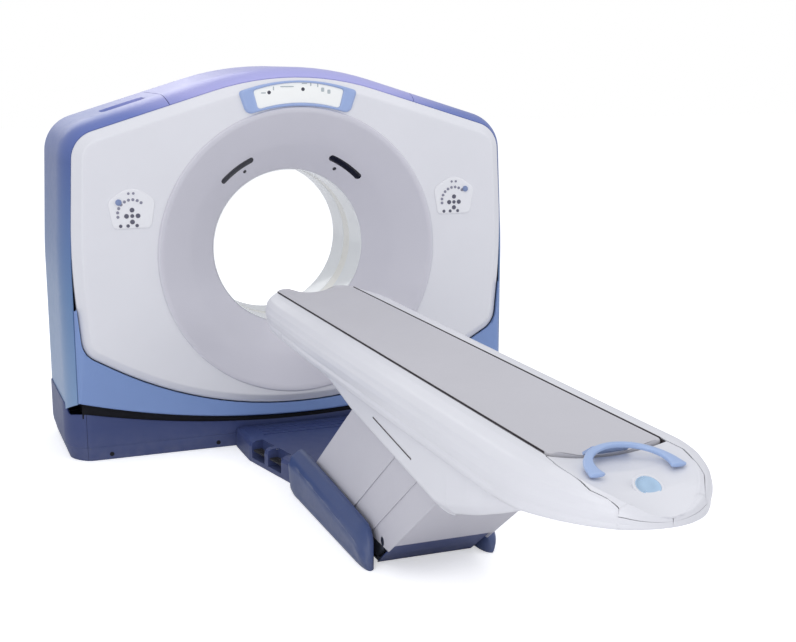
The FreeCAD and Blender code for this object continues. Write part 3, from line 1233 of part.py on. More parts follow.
def cradle_handle():
    """A half-round grip beyond the end of the cradle, on a short post in the cradle's end."""
    r0, r1, t = HANDLE_R - HANDLE_W / 2, HANDLE_R + HANDLE_W / 2, HANDLE_T / 2
    centre = V(0, HANDLE_Y, HANDLE_Z)
    section = [(r0, -t, 7), (r1, -t, 7), (r1, t, 7), (r0, t, 7)]
    wire = outline(section, lambda a, b: V(a, HANDLE_Y, HANDLE_Z + b))
    arc = Part.Face(wire).revolve(centre, Z_AXIS, 180)
    ends = [rod(V(side * HANDLE_R, HANDLE_Y, HANDLE_Z - t), Z_AXIS, HANDLE_W / 2 + 2, HANDLE_T)
            for side in (-1, 1)]
    grip = fuse([arc] + ends)
    grip.rotate(centre, X_AXIS, HANDLE_SLOPE)
    crest_y = HANDLE_Y + HANDLE_R
    crest_z = HANDLE_Z + HANDLE_R * math.sin(math.radians(HANDLE_SLOPE))
    post = slab([(-58, crest_y - 6, 0), (58, crest_y - 6, 0), (74, CRADLE_FOOT_Y - 0.3, 0),
                 (-74, CRADLE_FOOT_Y - 0.3, 0)], at_z(DECK_Z + 25), V(0, 0, crest_z + 3 - DECK_Z - 25))
    return fuse([grip, post])


def build():
    os.makedirs(OUT, exist_ok=True)
    save("base_frame", base_frame())
    tub = base_tub()
    save("base_front_cover", base_cover(tub, "front"))
    save("base_rear_cover", base_cover(tub, "rear"))
    save("base_side_cover_left", base_cover(tub, "left"))
    save("base_side_cover_right", base_cover(tub, "right"))
    save("trunnion_bearings", both(trunnion_bearing()))
    save("tilt_gearmotor", tilt_gearmotor())
    save("dock_cover", dock_cover())
    save("table_base_frame", table_base_frame())
    save("foot_cover_right", foot_cover())
    save("foot_cover_left", flip(foot_cover()))
    save("kick_plate", kick_plate())
    save("lift_gearmotor", lift_gearmotor())
    save("tilt_frame", tilt_frame())
    save("front_cover", front_cover())
    save("rear_cover", rear_cover())
    save("bore_cone_front", bore_cone(-1, FRONT_MOUTH_R))
    save("bore_cone_rear", bore_cone(1, REAR_MOUTH_R))
    save("bore_tube", bore_tube())
    save("scan_window", scan_window())
    shell = body_shell()
    right = with_recess(*side_shell(shell))
    save("side_shell_right", right)
    save("side_shell_left", flip(right))
    save("top_cover", top_cover(shell))
    save("lower_front_panel", lower_front_panel())
    save("lower_rear_panel", lower_rear_panel())
    save("display_frame", display_frame())
    save("display_window", display_window())
    save("laser_windows", laser_windows())
    save("control_panel_left", control_panel(-1))
    save("control_panel_right", control_panel(1))
    save("scan_button_left", scan_button(-1))
    save("scan_button_right", scan_button(1))
    save("stator_bearing", stator_bearing())
    save("drive_stator", drive_stator())
    save("slip_ring_brushes", slip_ring_brushes())
    save("rotor_drum", rotor_drum())
    save("xray_tube", xray_tube())
    save("collimator", collimator())
    save("detector_array", detector_array())
    save("hv_generator", hv_generator())
    save("heat_exchanger", heat_exchanger())
    save("slip_ring", slip_ring())
    first, second, third = panel_limits()
    save("leg_front", leg(FRONT_LEG_Y, SIDE_PLATE_X + SIDE_PLATE_T, RUNNING_GAP))
    save("leg_rear", leg(REAR_LEG_Y, PEDESTAL_X - 2 * PANEL_STEP, 1.0))
    save("leg_cover_front", leg_cover_front())
    save("leg_cover_1", side_panels(SIDE_PANEL_1_Y, first, 0))
    save("leg_cover_2", side_panels(SIDE_PANEL_2_Y, second, 1))
    save("leg_cover_rear", leg_cover_rear())
    save("table_frame", table_frame())
    top = top_shell()
    save("table_side_cover_left", table_side_cover(top, -1))
    save("table_side_cover_right", table_side_cover(top, 1))
    save("table_nose_cover", table_nose_cover(top))
    save("table_end_cover", table_end_cover(top))
    save("table_under_cover", table_under_cover())
    save("cradle", cradle())
    save("cradle_handle", cradle_handle())
    for side, name in ((-1, "left"), (1, "right")):
        for index, use in ((0, "up"), (1, "down")):
            save("pedal_" + name + "_" + use, pedal(index, side))


build()
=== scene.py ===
"""A computed-tomography scanner in its room light: tilting gantry, floor base and patient table."""
import json
import math

import bmesh
import bpy
import numpy as np
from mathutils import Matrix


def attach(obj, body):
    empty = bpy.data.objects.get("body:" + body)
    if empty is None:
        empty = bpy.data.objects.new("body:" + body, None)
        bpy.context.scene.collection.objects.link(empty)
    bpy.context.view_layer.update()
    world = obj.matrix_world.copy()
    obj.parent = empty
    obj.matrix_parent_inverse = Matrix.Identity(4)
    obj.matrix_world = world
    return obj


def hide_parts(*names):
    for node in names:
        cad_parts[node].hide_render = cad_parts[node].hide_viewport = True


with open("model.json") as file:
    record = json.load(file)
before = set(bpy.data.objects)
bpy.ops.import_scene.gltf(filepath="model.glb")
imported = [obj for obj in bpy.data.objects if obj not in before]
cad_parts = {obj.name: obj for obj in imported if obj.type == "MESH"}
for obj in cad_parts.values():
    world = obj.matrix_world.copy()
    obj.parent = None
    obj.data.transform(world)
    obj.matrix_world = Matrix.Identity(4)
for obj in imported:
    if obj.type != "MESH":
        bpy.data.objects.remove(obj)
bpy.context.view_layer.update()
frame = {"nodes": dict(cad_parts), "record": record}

# ---- Camera ----
# The photograph was taken from the table's left side, a little above a standing person's eye,
# with a lens of moderate length.
camera_data = bpy.data.cameras.new("camera")
camera_data.sensor_width = 36.0
camera_data.lens = 58.144
camera = bpy.data.objects.new("camera", camera_data)
bpy.context.scene.collection.objects.link(camera)
camera.location = (-1.8524, -6.5082, 1.9397)
camera.rotation_euler = (math.radians(90 - 11.623), 0, math.radians(-21.331))
bpy.context.scene.camera = camera

# ---- Room ----
# A plain pale floor and soft light from all round, a little stronger from above and in front.
floor_mesh = bpy.data.meshes.new("floor")
floor_mesh.from_pydata([(-30, -30, 0), (30, -30, 0), (30, 30, 0), (-30, 30, 0)], [], [(0, 1, 2, 3)])
floor = bpy.data.objects.new("floor", floor_mesh)
bpy.context.scene.collection.objects.link(floor)
floor.location = (0, 0, -0.001)


def add_node(tree, kind, values=(), **settings):
    """A new shader node in the tree, with its settings and the values of some of its inputs."""
    made = tree.nodes.new("ShaderNode" + kind)
    for key, value in settings.items():
        setattr(made, key, value)
    for key, value in dict(values).items():
        made.inputs[key].default_value = value
    return made


def floor_finish():
    """A pale matt floor that keeps a soft shadow; the camera sees it near white."""
    material = bpy.data.materials.new("floor")
    material.use_nodes = True
    tree, link = material.node_tree, material.node_tree.links.new
    shader = tree.nodes["Principled BSDF"]
    shader.inputs["Base Color"].default_value = (0.94, 0.94, 0.95, 1)
    shader.inputs["Roughness"].default_value = 0.9
    shader.inputs["Specular IOR Level"].default_value = 0.0
    glow = add_node(tree, "Emission", {"Color": (1, 1, 1, 1), "Strength": 0.48})
    both, mix = add_node(tree, "AddShader"), add_node(tree, "MixShader")
    link(shader.outputs[0], both.inputs[0])
    link(glow.outputs[0], both.inputs[1])
    link(add_node(tree, "LightPath").outputs["Is Camera Ray"], mix.inputs[0])
    link(shader.outputs[0], mix.inputs[1])
    link(both.outputs[0], mix.inputs[2])
    link(mix.outputs[0], tree.nodes["Material Output"].inputs[0])
    return material


floor_mesh.materials.append(floor_finish())

world = bpy.data.worlds.new("room")
world.use_nodes = True
bpy.context.scene.world = world
sky, link = world.node_tree, world.node_tree.links.new
dim = sky.nodes["Background"]
dim.inputs["Color"].default_value = (0.93, 0.95, 1.0, 1)
dim.inputs["Strength"].default_value = 0.66
bright = add_node(sky, "Background", {"Color": (1, 1, 1, 1), "Strength": 1.0})
path, blend = add_node(sky, "LightPath"), add_node(sky, "MixShader")
either = add_node(sky, "Math", operation="MAXIMUM")
link(path.outputs["Is Camera Ray"], either.inputs[0])
link(path.outputs["Is Transmission Ray"], either.inputs[1])
link(either.outputs[0], blend.inputs[0])
link(dim.outputs[0], blend.inputs[1])
link(bright.outputs[0], blend.inputs[2])
link(blend.outputs[0], sky.nodes["World Output"].inputs[0])


def soft_light(name, place, target, size, watts):
    """A square area lamp at place, turned towards target."""
    data = bpy.data.lights.new(name, "AREA")
    data.size = size
    data.energy = watts
    lamp = bpy.data.objects.new(name, data)
    bpy.context.scene.collection.objects.link(lamp)
    lamp.location = place
    aim = np.array(target, float) - np.array(place, float)
    lamp.rotation_euler = (math.acos(-aim[2] / np.linalg.norm(aim)), 0, math.atan2(aim[0], -aim[1]) + math.pi)
    return lamp


soft_light("key", (-4.0, -6.0, 5.5), (0, -1, 0.8), 4.0, 105)
soft_light("fill", (-3.6, -7.0, 0.7), (0, -1, 0.5), 3.0, 55)
soft_light("top", (1.0, -1.5, 6.0), (0, -1, 0.8), 5.0, 60)
soft_light("right", (6.0, -5.0, 3.5), (0, -1, 0.8), 4.0, 65)
soft_light("behind", (-1.0, 6.0, 4.5), (0, 0, 0.8), 4.0, 60)


# ---- Frames, drives and the pieces inside ----
# Welded and cast steel, aluminium and bronze under the covers; each keeps its own solid and gets the
# paint or the metal of the real piece.
def finish(name, colour, roughness, metallic=0.0, grain=0.0, grain_size=0.002, variation=0.03, coat=0.0,
           scuff=0.0):
    """A shader with a slight cloudiness in its colour, a fine bump, a varying gloss and scuffs near the
    floor."""
    material = bpy.data.materials.new(name)
    material.use_nodes = True
    tree, link = material.node_tree, material.node_tree.links.new
    shader = tree.nodes["Principled BSDF"]
    shader.inputs["Metallic"].default_value = metallic
    shader.inputs["Coat Weight"].default_value = coat
    place = add_node(tree, "TexCoord").outputs["Object"]

    def noise(scale, detail, distortion=0.0):
        """The value of a noise texture on the object's own coordinates."""
        made = add_node(tree, "TexNoise", {"Scale": scale, "Detail": detail, "Distortion": distortion})
        link(place, made.inputs["Vector"])
        return made.outputs["Fac"]

    low = [c * (1 - variation) for c in colour]
    high = [min(1.0, c * (1 + variation)) for c in colour]
    tint = add_node(tree, "Mix", {6: (*low, 1), 7: (*high, 1)}, data_type="RGBA")
    link(noise(3.5, 4), tint.inputs[0])
    colour_out = tint.outputs[2]
    if scuff:
        split = add_node(tree, "SeparateXYZ")
        link(place, split.inputs[0])
        low_down = add_node(tree, "MapRange", {"From Min": 0.16, "From Max": 0.0, "To Max": scuff})
        link(split.outputs["Z"], low_down.inputs["Value"])
        amount = add_node(tree, "Math", operation="MULTIPLY")
        link(low_down.outputs[0], amount.inputs[0])
        link(noise(22, 6), amount.inputs[1])
        worn = add_node(tree, "Mix", {7: (0.30, 0.30, 0.33, 1)}, data_type="RGBA")
        link(amount.outputs[0], worn.inputs[0])
        link(colour_out, worn.inputs[6])
        colour_out = worn.outputs[2]
    link(colour_out, shader.inputs["Base Color"])
    smooth, rough = max(0.02, roughness - 0.07), roughness + 0.07
    gloss = add_node(tree, "MapRange", {"To Min": smooth, "To Max": rough})
    link(noise(14, 5, 1.5), gloss.inputs["Value"])
    link(gloss.outputs[0], shader.inputs["Roughness"])
    if grain:
        bump = add_node(tree, "Bump", {"Strength": grain, "Distance": 0.0004})
        link(noise(1.0 / grain_size, 2), bump.inputs["Height"])
        link(bump.outputs[0], shader.inputs["Normal"])
    return material


SLOT_FINISH = {
    "steel_dark": finish("dark_paint", (0.09, 0.10, 0.13), 0.45, grain=0.3),
    "navy": finish("navy_plastic", (0.036, 0.056, 0.175), 0.42, grain=0.35, scuff=0.25),
    "light_blue": finish("light_blue_plastic", (0.19, 0.29, 0.56), 0.35, grain=0.3),
    "blue": finish("blue_plastic", (0.115, 0.190, 0.420), 0.30, grain=0.25),
    "white": finish("white_plastic", (0.74, 0.74, 0.78), 0.33, grain=0.25),
    "warm_white": finish("cone_plastic", (0.60, 0.59, 0.65), 0.4, grain=0.25),
    "grey": finish("grey_plastic", (0.55, 0.54, 0.58), 0.5, grain=0.4),
    "pedestal_grey": finish("powder_coat", (0.58, 0.57, 0.62), 0.5, grain=0.6, grain_size=0.0012),
    "scan_window": finish("window_film", (0.80, 0.79, 0.74), 0.25),
    "dark_glass": finish("dark_glass", (0.012, 0.012, 0.02), 0.08, coat=0.4),
    "pale_blue": finish("pale_blue_plastic", (0.33, 0.43, 0.70), 0.32, grain=0.3),
    "keypad": finish("keypad_film", (0.70, 0.70, 0.74), 0.4, grain=0.2),
    "machined_steel": finish("machined_steel", (0.55, 0.56, 0.58), 0.3, metallic=1.0, grain=0.2),
    "cast_aluminium": finish("cast_aluminium", (0.55, 0.56, 0.57), 0.5, metallic=1.0, grain=0.8),
    "motor_grey": finish("motor_paint", (0.12, 0.13, 0.15), 0.45, grain=0.5),
    "bronze": finish("bronze", (0.50, 0.34, 0.16), 0.3, metallic=1.0, grain=0.3),
    "rubber": finish("rubber", (0.02, 0.02, 0.025), 0.75, grain=0.8),
    "button_grey": finish("button_plastic", (0.20, 0.26, 0.45), 0.3),
}
slot_of = {row["node"]: row["material_slot"] for row in frame["record"]["subparts"]}
for node, obj in frame["nodes"].items():
    for socket in obj.material_slots:
        socket.material = SLOT_FINISH[slot_of[node]]

# ---- Gantry front and rear covers ----
# Vacuum-formed white shells, one in front and one behind, each with a sloping rim all round and a round
# mouth; they clip to the tilt frame. Sizes in this file are millimetres.
ISO_Z = 990.0
FACE_Y = 438.0
COVER_WALL = 5.0
FRONT_MOUTH_R = 713.0
REAR_MOUTH_R = 591.0
SHOULDER = (1083, 582, 140)
WAIST = (1115, -10, 3000)


def both_sides(half):
    """A half outline followed by its mirror image about the middle plane."""
    return half + [(-a, b, r) for a, b, r in reversed(half) if a > 0]


FACE_OUTLINE = both_sides([(0, 915, 1400), SHOULDER, WAIST, (1079, -444, 120), (509, -772, 1850)])


def rounded(corners, count=None, closed=True):
    """A line through corners (a, b, r), where each corner is an arc of radius r that touches both its
    straight runs. It is left as its arcs and runs, or sampled at count even steps of its length.
    Gives the points and the unit normals on the outside of the turn's centre."""
    c = np.array(corners, float)
    p, r = c[:, :2], c[:, 2]
    into, out = p - np.roll(p, 1, 0), np.roll(p, -1, 0) - p
    into /= np.linalg.norm(into, axis=1)[:, None]
    out /= np.linalg.norm(out, axis=1)[:, None]
    turn = np.arctan2(into[:, 0] * out[:, 1] - into[:, 1] * out[:, 0], (into * out).sum(1))
    if not closed:
        turn[[0, -1]] = 0
    runs = []
    for i in range(len(p)):
        if r[i] == 0 or turn[i] == 0:
            runs.append(p[i:i + 1])
            continue
        start = p[i] - into[i] * r[i] * abs(math.tan(turn[i] / 2))
        centre = start + np.array([-into[i][1], into[i][0]]) * r[i] * np.sign(turn[i])
        t = turn[i] * np.linspace(0, 1, 13)
        d = start - centre
        runs.append(centre + np.stack([d[0] * np.cos(t) - d[1] * np.sin(t),
                                       d[0] * np.sin(t) + d[1] * np.cos(t)], 1))
    line = np.concatenate(runs + ([runs[0][:1]] if closed else []))
    if count:
        length = np.concatenate([[0], np.cumsum(np.linalg.norm(np.diff(line, axis=0), axis=1))])
        s = np.linspace(0, length[-1], count, endpoint=not closed)
        line = np.stack([np.interp(s, length, line[:, 0]), np.interp(s, length, line[:, 1])], 1)
        tangent = np.roll(line, -1, 0) - np.roll(line, 1, 0) if closed else np.gradient(line, axis=0)
    else:
        line = line[:-1] if closed else line
        tangent = np.gradient(line, axis=0)
    tangent /= np.linalg.norm(tangent, axis=1)[:, None] + 1e-12
    side = -1.0 if turn.sum() < 0 else 1.0
    return line, np.stack([tangent[:, 1], -tangent[:, 0]], 1) * side


def walled(outer, wall, core, cols_round=False):
    """A sheet with a wall: the outer face, a second face at the wall's depth along the outer face's own
    normals, on the side of core, and the two joined along their edges."""
    along = np.gradient(outer, axis=0)
    across = np.roll(outer, -1, 1) - np.roll(outer, 1, 1) if cols_round else np.gradient(outer, axis=1)
    normal = np.cross(along, across)
    normal /= np.linalg.norm(normal, axis=2)[:, :, None] + 1e-9
    side = np.sign(np.sum((outer - np.array(core, float)) * normal))
    inner = outer - normal * side * wall
    if cols_round:
        return np.concatenate([outer, inner[::-1]]), True, True
    middle = (outer + inner) / 2
    section = np.concatenate([outer, inner[:, ::-1]], axis=1)
    edge = np.concatenate([middle, middle[:, ::-1]], axis=1)
    return np.concatenate([edge[:1], section, edge[-1:]]), False, True


def piece(name, body, slot, grids, replaces=(), paint=None, crease=35):
    """One object from grids of points in millimetres, each given with whether its rows and its columns
    close on themselves. Neighbouring points make quads, and points that fall together are merged."""
    work = bmesh.new()
    for points, rows_round, cols_round in grids:
        rows, cols = points.shape[:2]
        grid = np.arange(rows * cols).reshape(rows, cols)
        grid = np.vstack([grid, grid[:1]]) if rows_round else grid
        grid = np.hstack([grid, grid[:, :1]]) if cols_round else grid
        quads = np.stack([grid[:-1, :-1], grid[:-1, 1:], grid[1:, 1:], grid[1:, :-1]], -1).reshape(-1, 4)
        patch = bpy.data.meshes.new(name)
        patch.from_pydata((points.reshape(-1, 3) * 0.001).tolist(), [], quads.tolist())
        own = bmesh.new()
        own.from_mesh(patch)
        bmesh.ops.remove_doubles(own, verts=own.verts, dist=2e-6)
        bmesh.ops.recalc_face_normals(own, faces=own.faces)
        own.to_mesh(patch)
        own.free()
        work.from_mesh(patch)
        bpy.data.meshes.remove(patch)
    mesh = bpy.data.meshes.new(name)
    work.to_mesh(mesh)
    work.free()
    mesh.polygons.foreach_set("use_smooth", np.ones(len(mesh.polygons), bool))
    mesh.set_sharp_from_angle(angle=math.radians(crease))
    mesh.materials.append(paint or SLOT_FINISH[slot])
    made = bpy.data.objects.new(name, mesh)
    bpy.context.scene.collection.objects.link(made)
    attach(made, body)
    if replaces:
        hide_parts(*replaces)
    return made


def face_cover(side, mouth_r):
    """Rings round the cover's outline: skirt, corner, sloping rim, then the flat face drawn in to the
    mouth's circle. side is -1 in front and 1 behind."""
    line, out = rounded(FACE_OUTLINE, 640)
    rim, _ = rounded([(0, 372, 0), (0, 400, 14), (45, 438, 20), (52, 438, 0)], 30, closed=False)
    rings = line[None] - rim[:, 0, None, None] * out[None]
    depth = np.repeat(rim[:, 1], line.shape[0]).reshape(rings.shape[:2])
    angle = np.arctan2(rings[-1, :, 0], rings[-1, :, 1])
    mouth = mouth_r * np.stack([np.sin(angle), np.cos(angle)], 1)
    t = np.linspace(0, 1, 16)[1:, None, None]
    face = rings[-1][None] * (1 - t) + mouth[None] * t
    rings = np.concatenate([rings, face])
    depth = np.concatenate([depth, np.full(face.shape[:2], FACE_Y)])
    outer = np.stack([rings[..., 0], side * depth, ISO_Z + rings[..., 1]], -1)
    return walled(outer, COVER_WALL, (0, 0, ISO_Z), cols_round=True)


piece("front_cover_shell", "gantry", "white", [face_cover(-1, FRONT_MOUTH_R)], ["front_cover"])
piece("rear_cover_shell", "gantry", "white", [face_cover(1, REAR_MOUTH_R)], ["rear_cover"])

# ---- Bore: flared cones, tube and scan window ----
# Glossy moulded cones run from the mouths down to the tube; between the tube's two lengths is a thin
# translucent film that the beam goes through.
LIP_R, LIP_Y, MOUTH_Y = 395.3, 225.0, 447.0


def turned(profile, centre=(0, 0, ISO_Z), steps=240):
    """A closed line of (radius, y) turned a full circle about the scan axis."""
    a = np.linspace(0, 2 * np.pi, steps, endpoint=False)
    r, y = profile[:, 0, None], profile[:, 1, None]
    points = np.stack([centre[0] + r * np.sin(a), centre[1] + y + 0 * a, centre[2] + r * np.cos(a)], -1)
    return points, True, True


def cone_line(mouth_r):
    """The cone's visible line, from behind its rolled edge to the lip over the tube."""
    waist = (LIP_R + (mouth_r - LIP_R) * 0.42, (LIP_Y + MOUTH_Y) / 2, 500)
    return rounded([(mouth_r, MOUTH_Y - 22, 0), (mouth_r, MOUTH_Y, 9), (mouth_r - 22, MOUTH_Y, 40), waist,
                    (LIP_R, LIP_Y, 0)], closed=False)[0]


def cone(mouth_r, side):
    """The visible line and its wall behind it, turned about the scan axis."""
    line = cone_line(mouth_r)
    back = line + np.array([[2.0, -4.0]])
    back[:2] = line[:2] - [[4.0, 0.0]]
    return turned(np.concatenate([line, back[::-1]]) * [1, side])


cone_paint = finish("cone_lacquer", (0.62, 0.61, 0.67), 0.34, grain=0.2, variation=0.02, coat=0.15)
bore_paint = finish("bore_lacquer", (0.80, 0.82, 0.83), 0.16, variation=0.02, coat=0.35)
piece("front_cone", "gantry", "warm_white", [cone(712.0, -1)], ["bore_cone_front"], cone_paint)
piece("rear_cone", "gantry", "warm_white", [cone(590.0, 1)], ["bore_cone_rear"], cone_paint)
tube = rounded([(390, 46, 1.5), (390, 229, 2), (395, 229, 2), (395, 46, 1)])[0]
piece("bore_lining", "gantry", "white", [turned(tube), turned(tube * [1, -1])], ["bore_tube"], bore_paint)
film = rounded([(391, -45, 0), (391, 45, 0), (393, 45, 0), (393, -45, 0)])[0]
piece("scan_film", "gantry", "scan_window", [turned(film)], ["scan_window"])

# ---- Laser windows and room sensors ----
# Two dark curved acrylic strips with round ends, let into the cone on either side of the crown, and a
# small round sensor under the inner end of each.
STRIP_R, STRIP_HALF_WIDTH = 495.0, 15.0
STRIP_MIDDLE, STRIP_HALF = math.radians(35), math.radians(11.5)
line = cone_line(712.0)
order = np.argsort(line[:, 0])
cone_r, cone_y = line[order, 0], -line[order, 1]


def on_cone(angle, r, lift):
    """A point on the front cone at an angle from the crown and at radius r, raised along its normal."""
    y = np.interp(r, cone_r, cone_y)
    slope = (np.interp(r + 4, cone_r, cone_y) - np.interp(r - 4, cone_r, cone_y)) / 8
    unit = np.sqrt(1 + slope ** 2)
    r = r + lift * slope / unit
    return np.stack([r * np.sin(angle), y - lift / unit + 0 * angle, ISO_Z + r * np.cos(angle)], -1)


def laser_strip(side):
    """A band along the circle, whose half width runs out as a round end, with a slightly domed face."""
    t = np.linspace(-1, 1, 60)[:, None]
    v = np.linspace(-1, 1, 13)[None]
    end = STRIP_HALF_WIDTH / (STRIP_R * STRIP_HALF)
    left = np.clip((1 - np.abs(t)) / end, 0, 1)
    half = STRIP_HALF_WIDTH * np.sqrt(1 - (1 - left) ** 2)
    lift = 0.4 + 1.2 * (1 - v ** 2) * (half / STRIP_HALF_WIDTH)
    top = on_cone(side * (STRIP_MIDDLE + t * STRIP_HALF) + 0 * v, STRIP_R + v * half, lift)
    return walled(top, 2.5, (0, 2000, ISO_Z))


def sensor(side):
    """A small dome on the cone."""
    a = np.linspace(0, 2 * np.pi, 24, endpoint=False)[None]
    r = np.array([0, 3, 5.5, 7.5, 9, 9])[:, None]
    lift = np.array([2.6, 2.4, 1.9, 1.2, 0.2, -1.5])[:, None]
    spot = on_cone(side * (0.54 + r * np.cos(a) / 455), 455 + r * np.sin(a), lift + 0 * a)
    return np.concatenate([spot, on_cone(side * (0.54 + 0 * a), 455 + 0 * a, -1.5 + 0 * a)]), False, True


piece("laser_strips", "gantry", "dark_glass", [laser_strip(-1), laser_strip(1)], ["laser_windows"])
piece("room_sensors", "gantry", "dark_glass", [sensor(-1), sensor(1)])

# ---- Gantry shell ----
# Three lacquered covers close round the gantry between the face covers: one on each side, with a hand
# recess in the shoulder, and one over the top. They curve in towards the faces and meet at 3 mm seams.
SHELL_OUT, SHELL_WALL, SHELL_END_Y = 50.0, 6.0, 394.5
SEAM_X, RECESS_X, RECESS_Y = 620.0, 800.0, -120.0
sole = both_sides([(0, 915, 1400), SHOULDER, (1112, -10, 3000), (1112, -950, 0)])
sole = sole[4:] + sole[:4]
shell_line, shell_out = rounded(sole, 1400, closed=False)
shell_out *= np.sign(np.sum(shell_line * shell_out))


def under_body(x, y):
    """Height of the tilting body's round underside, a barrel about the tilt axis, at x and y."""
    return ISO_Z - np.sqrt((918.0 - x ** 2 / 10000.0) ** 2 - y ** 2)


def bulge(y):
    """How far the shell stands out: full in the middle, falling with the cube towards each face."""
    u = np.clip((np.abs(y) - 200) / 200, 0, 1)
    return SHELL_OUT * (1 - u ** 3)


def step(value, edge, blend):
    """A smooth rise from 0 to 1 over blend, centred on edge."""
    t = np.clip((value - edge) / blend + 0.5, 0, 1)
    return t * t * (3 - 2 * t)


def recess_depth(x, y):
    """Depth of the hand recess: a rounded rectangle on the shoulder's slope with a soft edge."""
    a, b = np.abs(x - RECESS_X) / 0.956 - 75, np.abs(y - RECESS_Y) - 45
    away = np.hypot(np.maximum(a, 0), np.maximum(b, 0)) - 30
    return 22 * step(-away, 0, 12)


def shell_cover(x_from, x_to, columns, sink=True):
    """Rows follow the body's outline from x_from to x_to, or down to the underside where x_to is None;
    each point stands off the outline by the bulge."""
    y = np.linspace(-SHELL_END_Y, SHELL_END_Y, 132)
    s = np.arange(len(shell_line), dtype=float)
    crown = len(s) // 2
    first = np.interp(x_from, shell_line[:, 0][200:-200], s[200:-200])
    if x_to is None:
        x = shell_line[crown:, 0, None] + bulge(y) * shell_out[crown:, 0, None]
        z = ISO_Z + shell_line[crown:, 1, None] + bulge(y) * shell_out[crown:, 1, None]
        over = z - under_body(x, y)
        i = np.argmax(over < 0, axis=0)
        j = np.arange(len(y))
        last = crown + i - 1 + over[i - 1, j] / (over[i - 1, j] - over[i, j])
    else:
        last = np.full(len(y), np.interp(x_to, shell_line[:, 0][200:-200], s[200:-200]))
    at = first + np.linspace(0, 1, columns)[:, None] * (last[None] - first)
    px, pz, nx, nz = (np.interp(at, s, v) for v in (*shell_line.T, *shell_out.T))
    off = bulge(y)[None] - (recess_depth(px + 50 * nx, y[None]) if sink else 0)
    return np.stack([px + off * nx, y[None] + 0 * px, ISO_Z + pz + off * nz], -1)


def mirrored(grid):
    """The same grid on the other side of the middle plane."""
    return grid[0] * [-1, 1, 1], grid[1], grid[2]


def shell_with_painted_light():
    """Blue lacquer with painted light set by height: lighter blue low down, painted shade deepening towards
    the shoulder, and a painted lavender highlight over the top.
    """
    material = finish("shell_lacquer_painted_light", (0.5, 0.5, 0.5), 0.36, variation=0.02, coat=0.08)
    tree, link = material.node_tree, material.node_tree.links.new
    place, split = add_node(tree, "TexCoord"), add_node(tree, "SeparateXYZ")
    painted_light_ramp = add_node(tree, "ValToRGB")
    height = add_node(tree, "MapRange", {"From Min": 0.2, "From Max": 1.95})
    link(place.outputs["Object"], split.inputs[0])
    link(split.outputs["Z"], height.inputs["Value"])
    link(height.outputs[0], painted_light_ramp.inputs[0])
    stops = painted_light_ramp.color_ramp.elements
    # These stops are painted light: the lavender at the top is a painted highlight and the dark band under it
    # is painted shade.
    stops[0].position, stops[0].color = 0.0, (0.20, 0.32, 0.52, 1)
    stops[1].position, stops[1].color = 1.0, (0.42, 0.42, 0.78, 1)
    for position, colour in ((0.35, (0.12, 0.22, 0.42)), (0.72, (0.075, 0.125, 0.34)),
                             (0.84, (0.14, 0.19, 0.50)), (0.90, (0.40, 0.40, 0.76))):
        stops.new(position).color = (*colour, 1)
    link(painted_light_ramp.outputs[0], tree.nodes["Principled BSDF"].inputs["Base Color"])
    return material


shell_lacquer_with_painted_light = shell_with_painted_light()
side_cover = walled(shell_cover(SEAM_X + 1.5, None, 300), SHELL_WALL, (0, 0, ISO_Z))
top = walled(shell_cover(-SEAM_X + 1.5, SEAM_X - 1.5, 200, sink=False), SHELL_WALL, (0, 0, ISO_Z))
piece("shell_right", "gantry", "blue", [side_cover], ["side_shell_right"], shell_lacquer_with_painted_light)
piece("shell_left", "gantry", "blue", [mirrored(side_cover)], ["side_shell_left"], shell_lacquer_with_painted_light)
piece("shell_top", "gantry", "blue", [top], ["top_cover"], shell_lacquer_with_painted_light)


def grip_pad():
    """A thin dark mat on the recess floor: the shell's own surface at the recess's depth, in a rounded
    rectangle drawn from its centre outwards."""
    a = np.linspace(0, 2 * np.pi, 72, endpoint=False)
    k = np.linspace(0, 1, 14)[:, None]
    reach = (np.abs(np.cos(a) / 92) ** 5 + np.abs(np.sin(a) / 62) ** 5) ** -0.2
    x, y = RECESS_X + 0.956 * k * reach * np.cos(a), RECESS_Y + k * reach * np.sin(a)
    at = np.interp(x - 15, shell_line[:, 0][200:-200], np.arange(len(shell_line))[200:-200])
    px, pz, nx, nz = (np.interp(at, np.arange(len(shell_line)), v) for v in (*shell_line.T, *shell_out.T))
    off = bulge(y) - 22 + 1.5 * (1 - k ** 12)
    grid = np.stack([px + off * nx, y, ISO_Z + pz + off * nz], -1)
    return walled(grid, 1.2, (0, 0, ISO_Z), cols_round=True)


pad_paint = finish("grip_rubber", (0.075, 0.09, 0.30), 0.5, grain=0.6)
piece("grip_pads", "gantry", "blue", [grip_pad(), mirrored(grip_pad())], paint=pad_paint)

# ---- Display ----
# A raised arched frame over the bore with a back-lit white window; the marks in it are plain bars and
# dots behind the film.
PANE_Y = 447.9


def band(outer_line, inner_line, levels):
    """A ring between two outlines with the same number of points: each level (share, depth) is a line
    that share of the way from the outer outline to the inner one."""
    rows = []
    for share, depth in levels:
        line = outer_line * (1 - share) + inner_line * share
        rows.append(np.stack([line[:, 0], np.full(len(line), -depth), ISO_Z + line[:, 1]], -1))
    return np.array(rows), True, True


def plate(line, out, levels, middle):
    """A plate on an outline, facing the front: each level (inset, depth) is the outline drawn in by inset
    at that depth, and the first and last close on the middle."""
    rows = []
    for inset, depth in levels:
        drawn = line - inset * out
        rows.append(np.stack([drawn[:, 0], np.full(len(line), -depth), ISO_Z + drawn[:, 1]], -1))
    first, last = (np.tile([middle[0], -levels[i][1], ISO_Z + middle[1]], (len(line), 1)) for i in (0, -1))
    return np.array([first] + rows + [last]), False, True


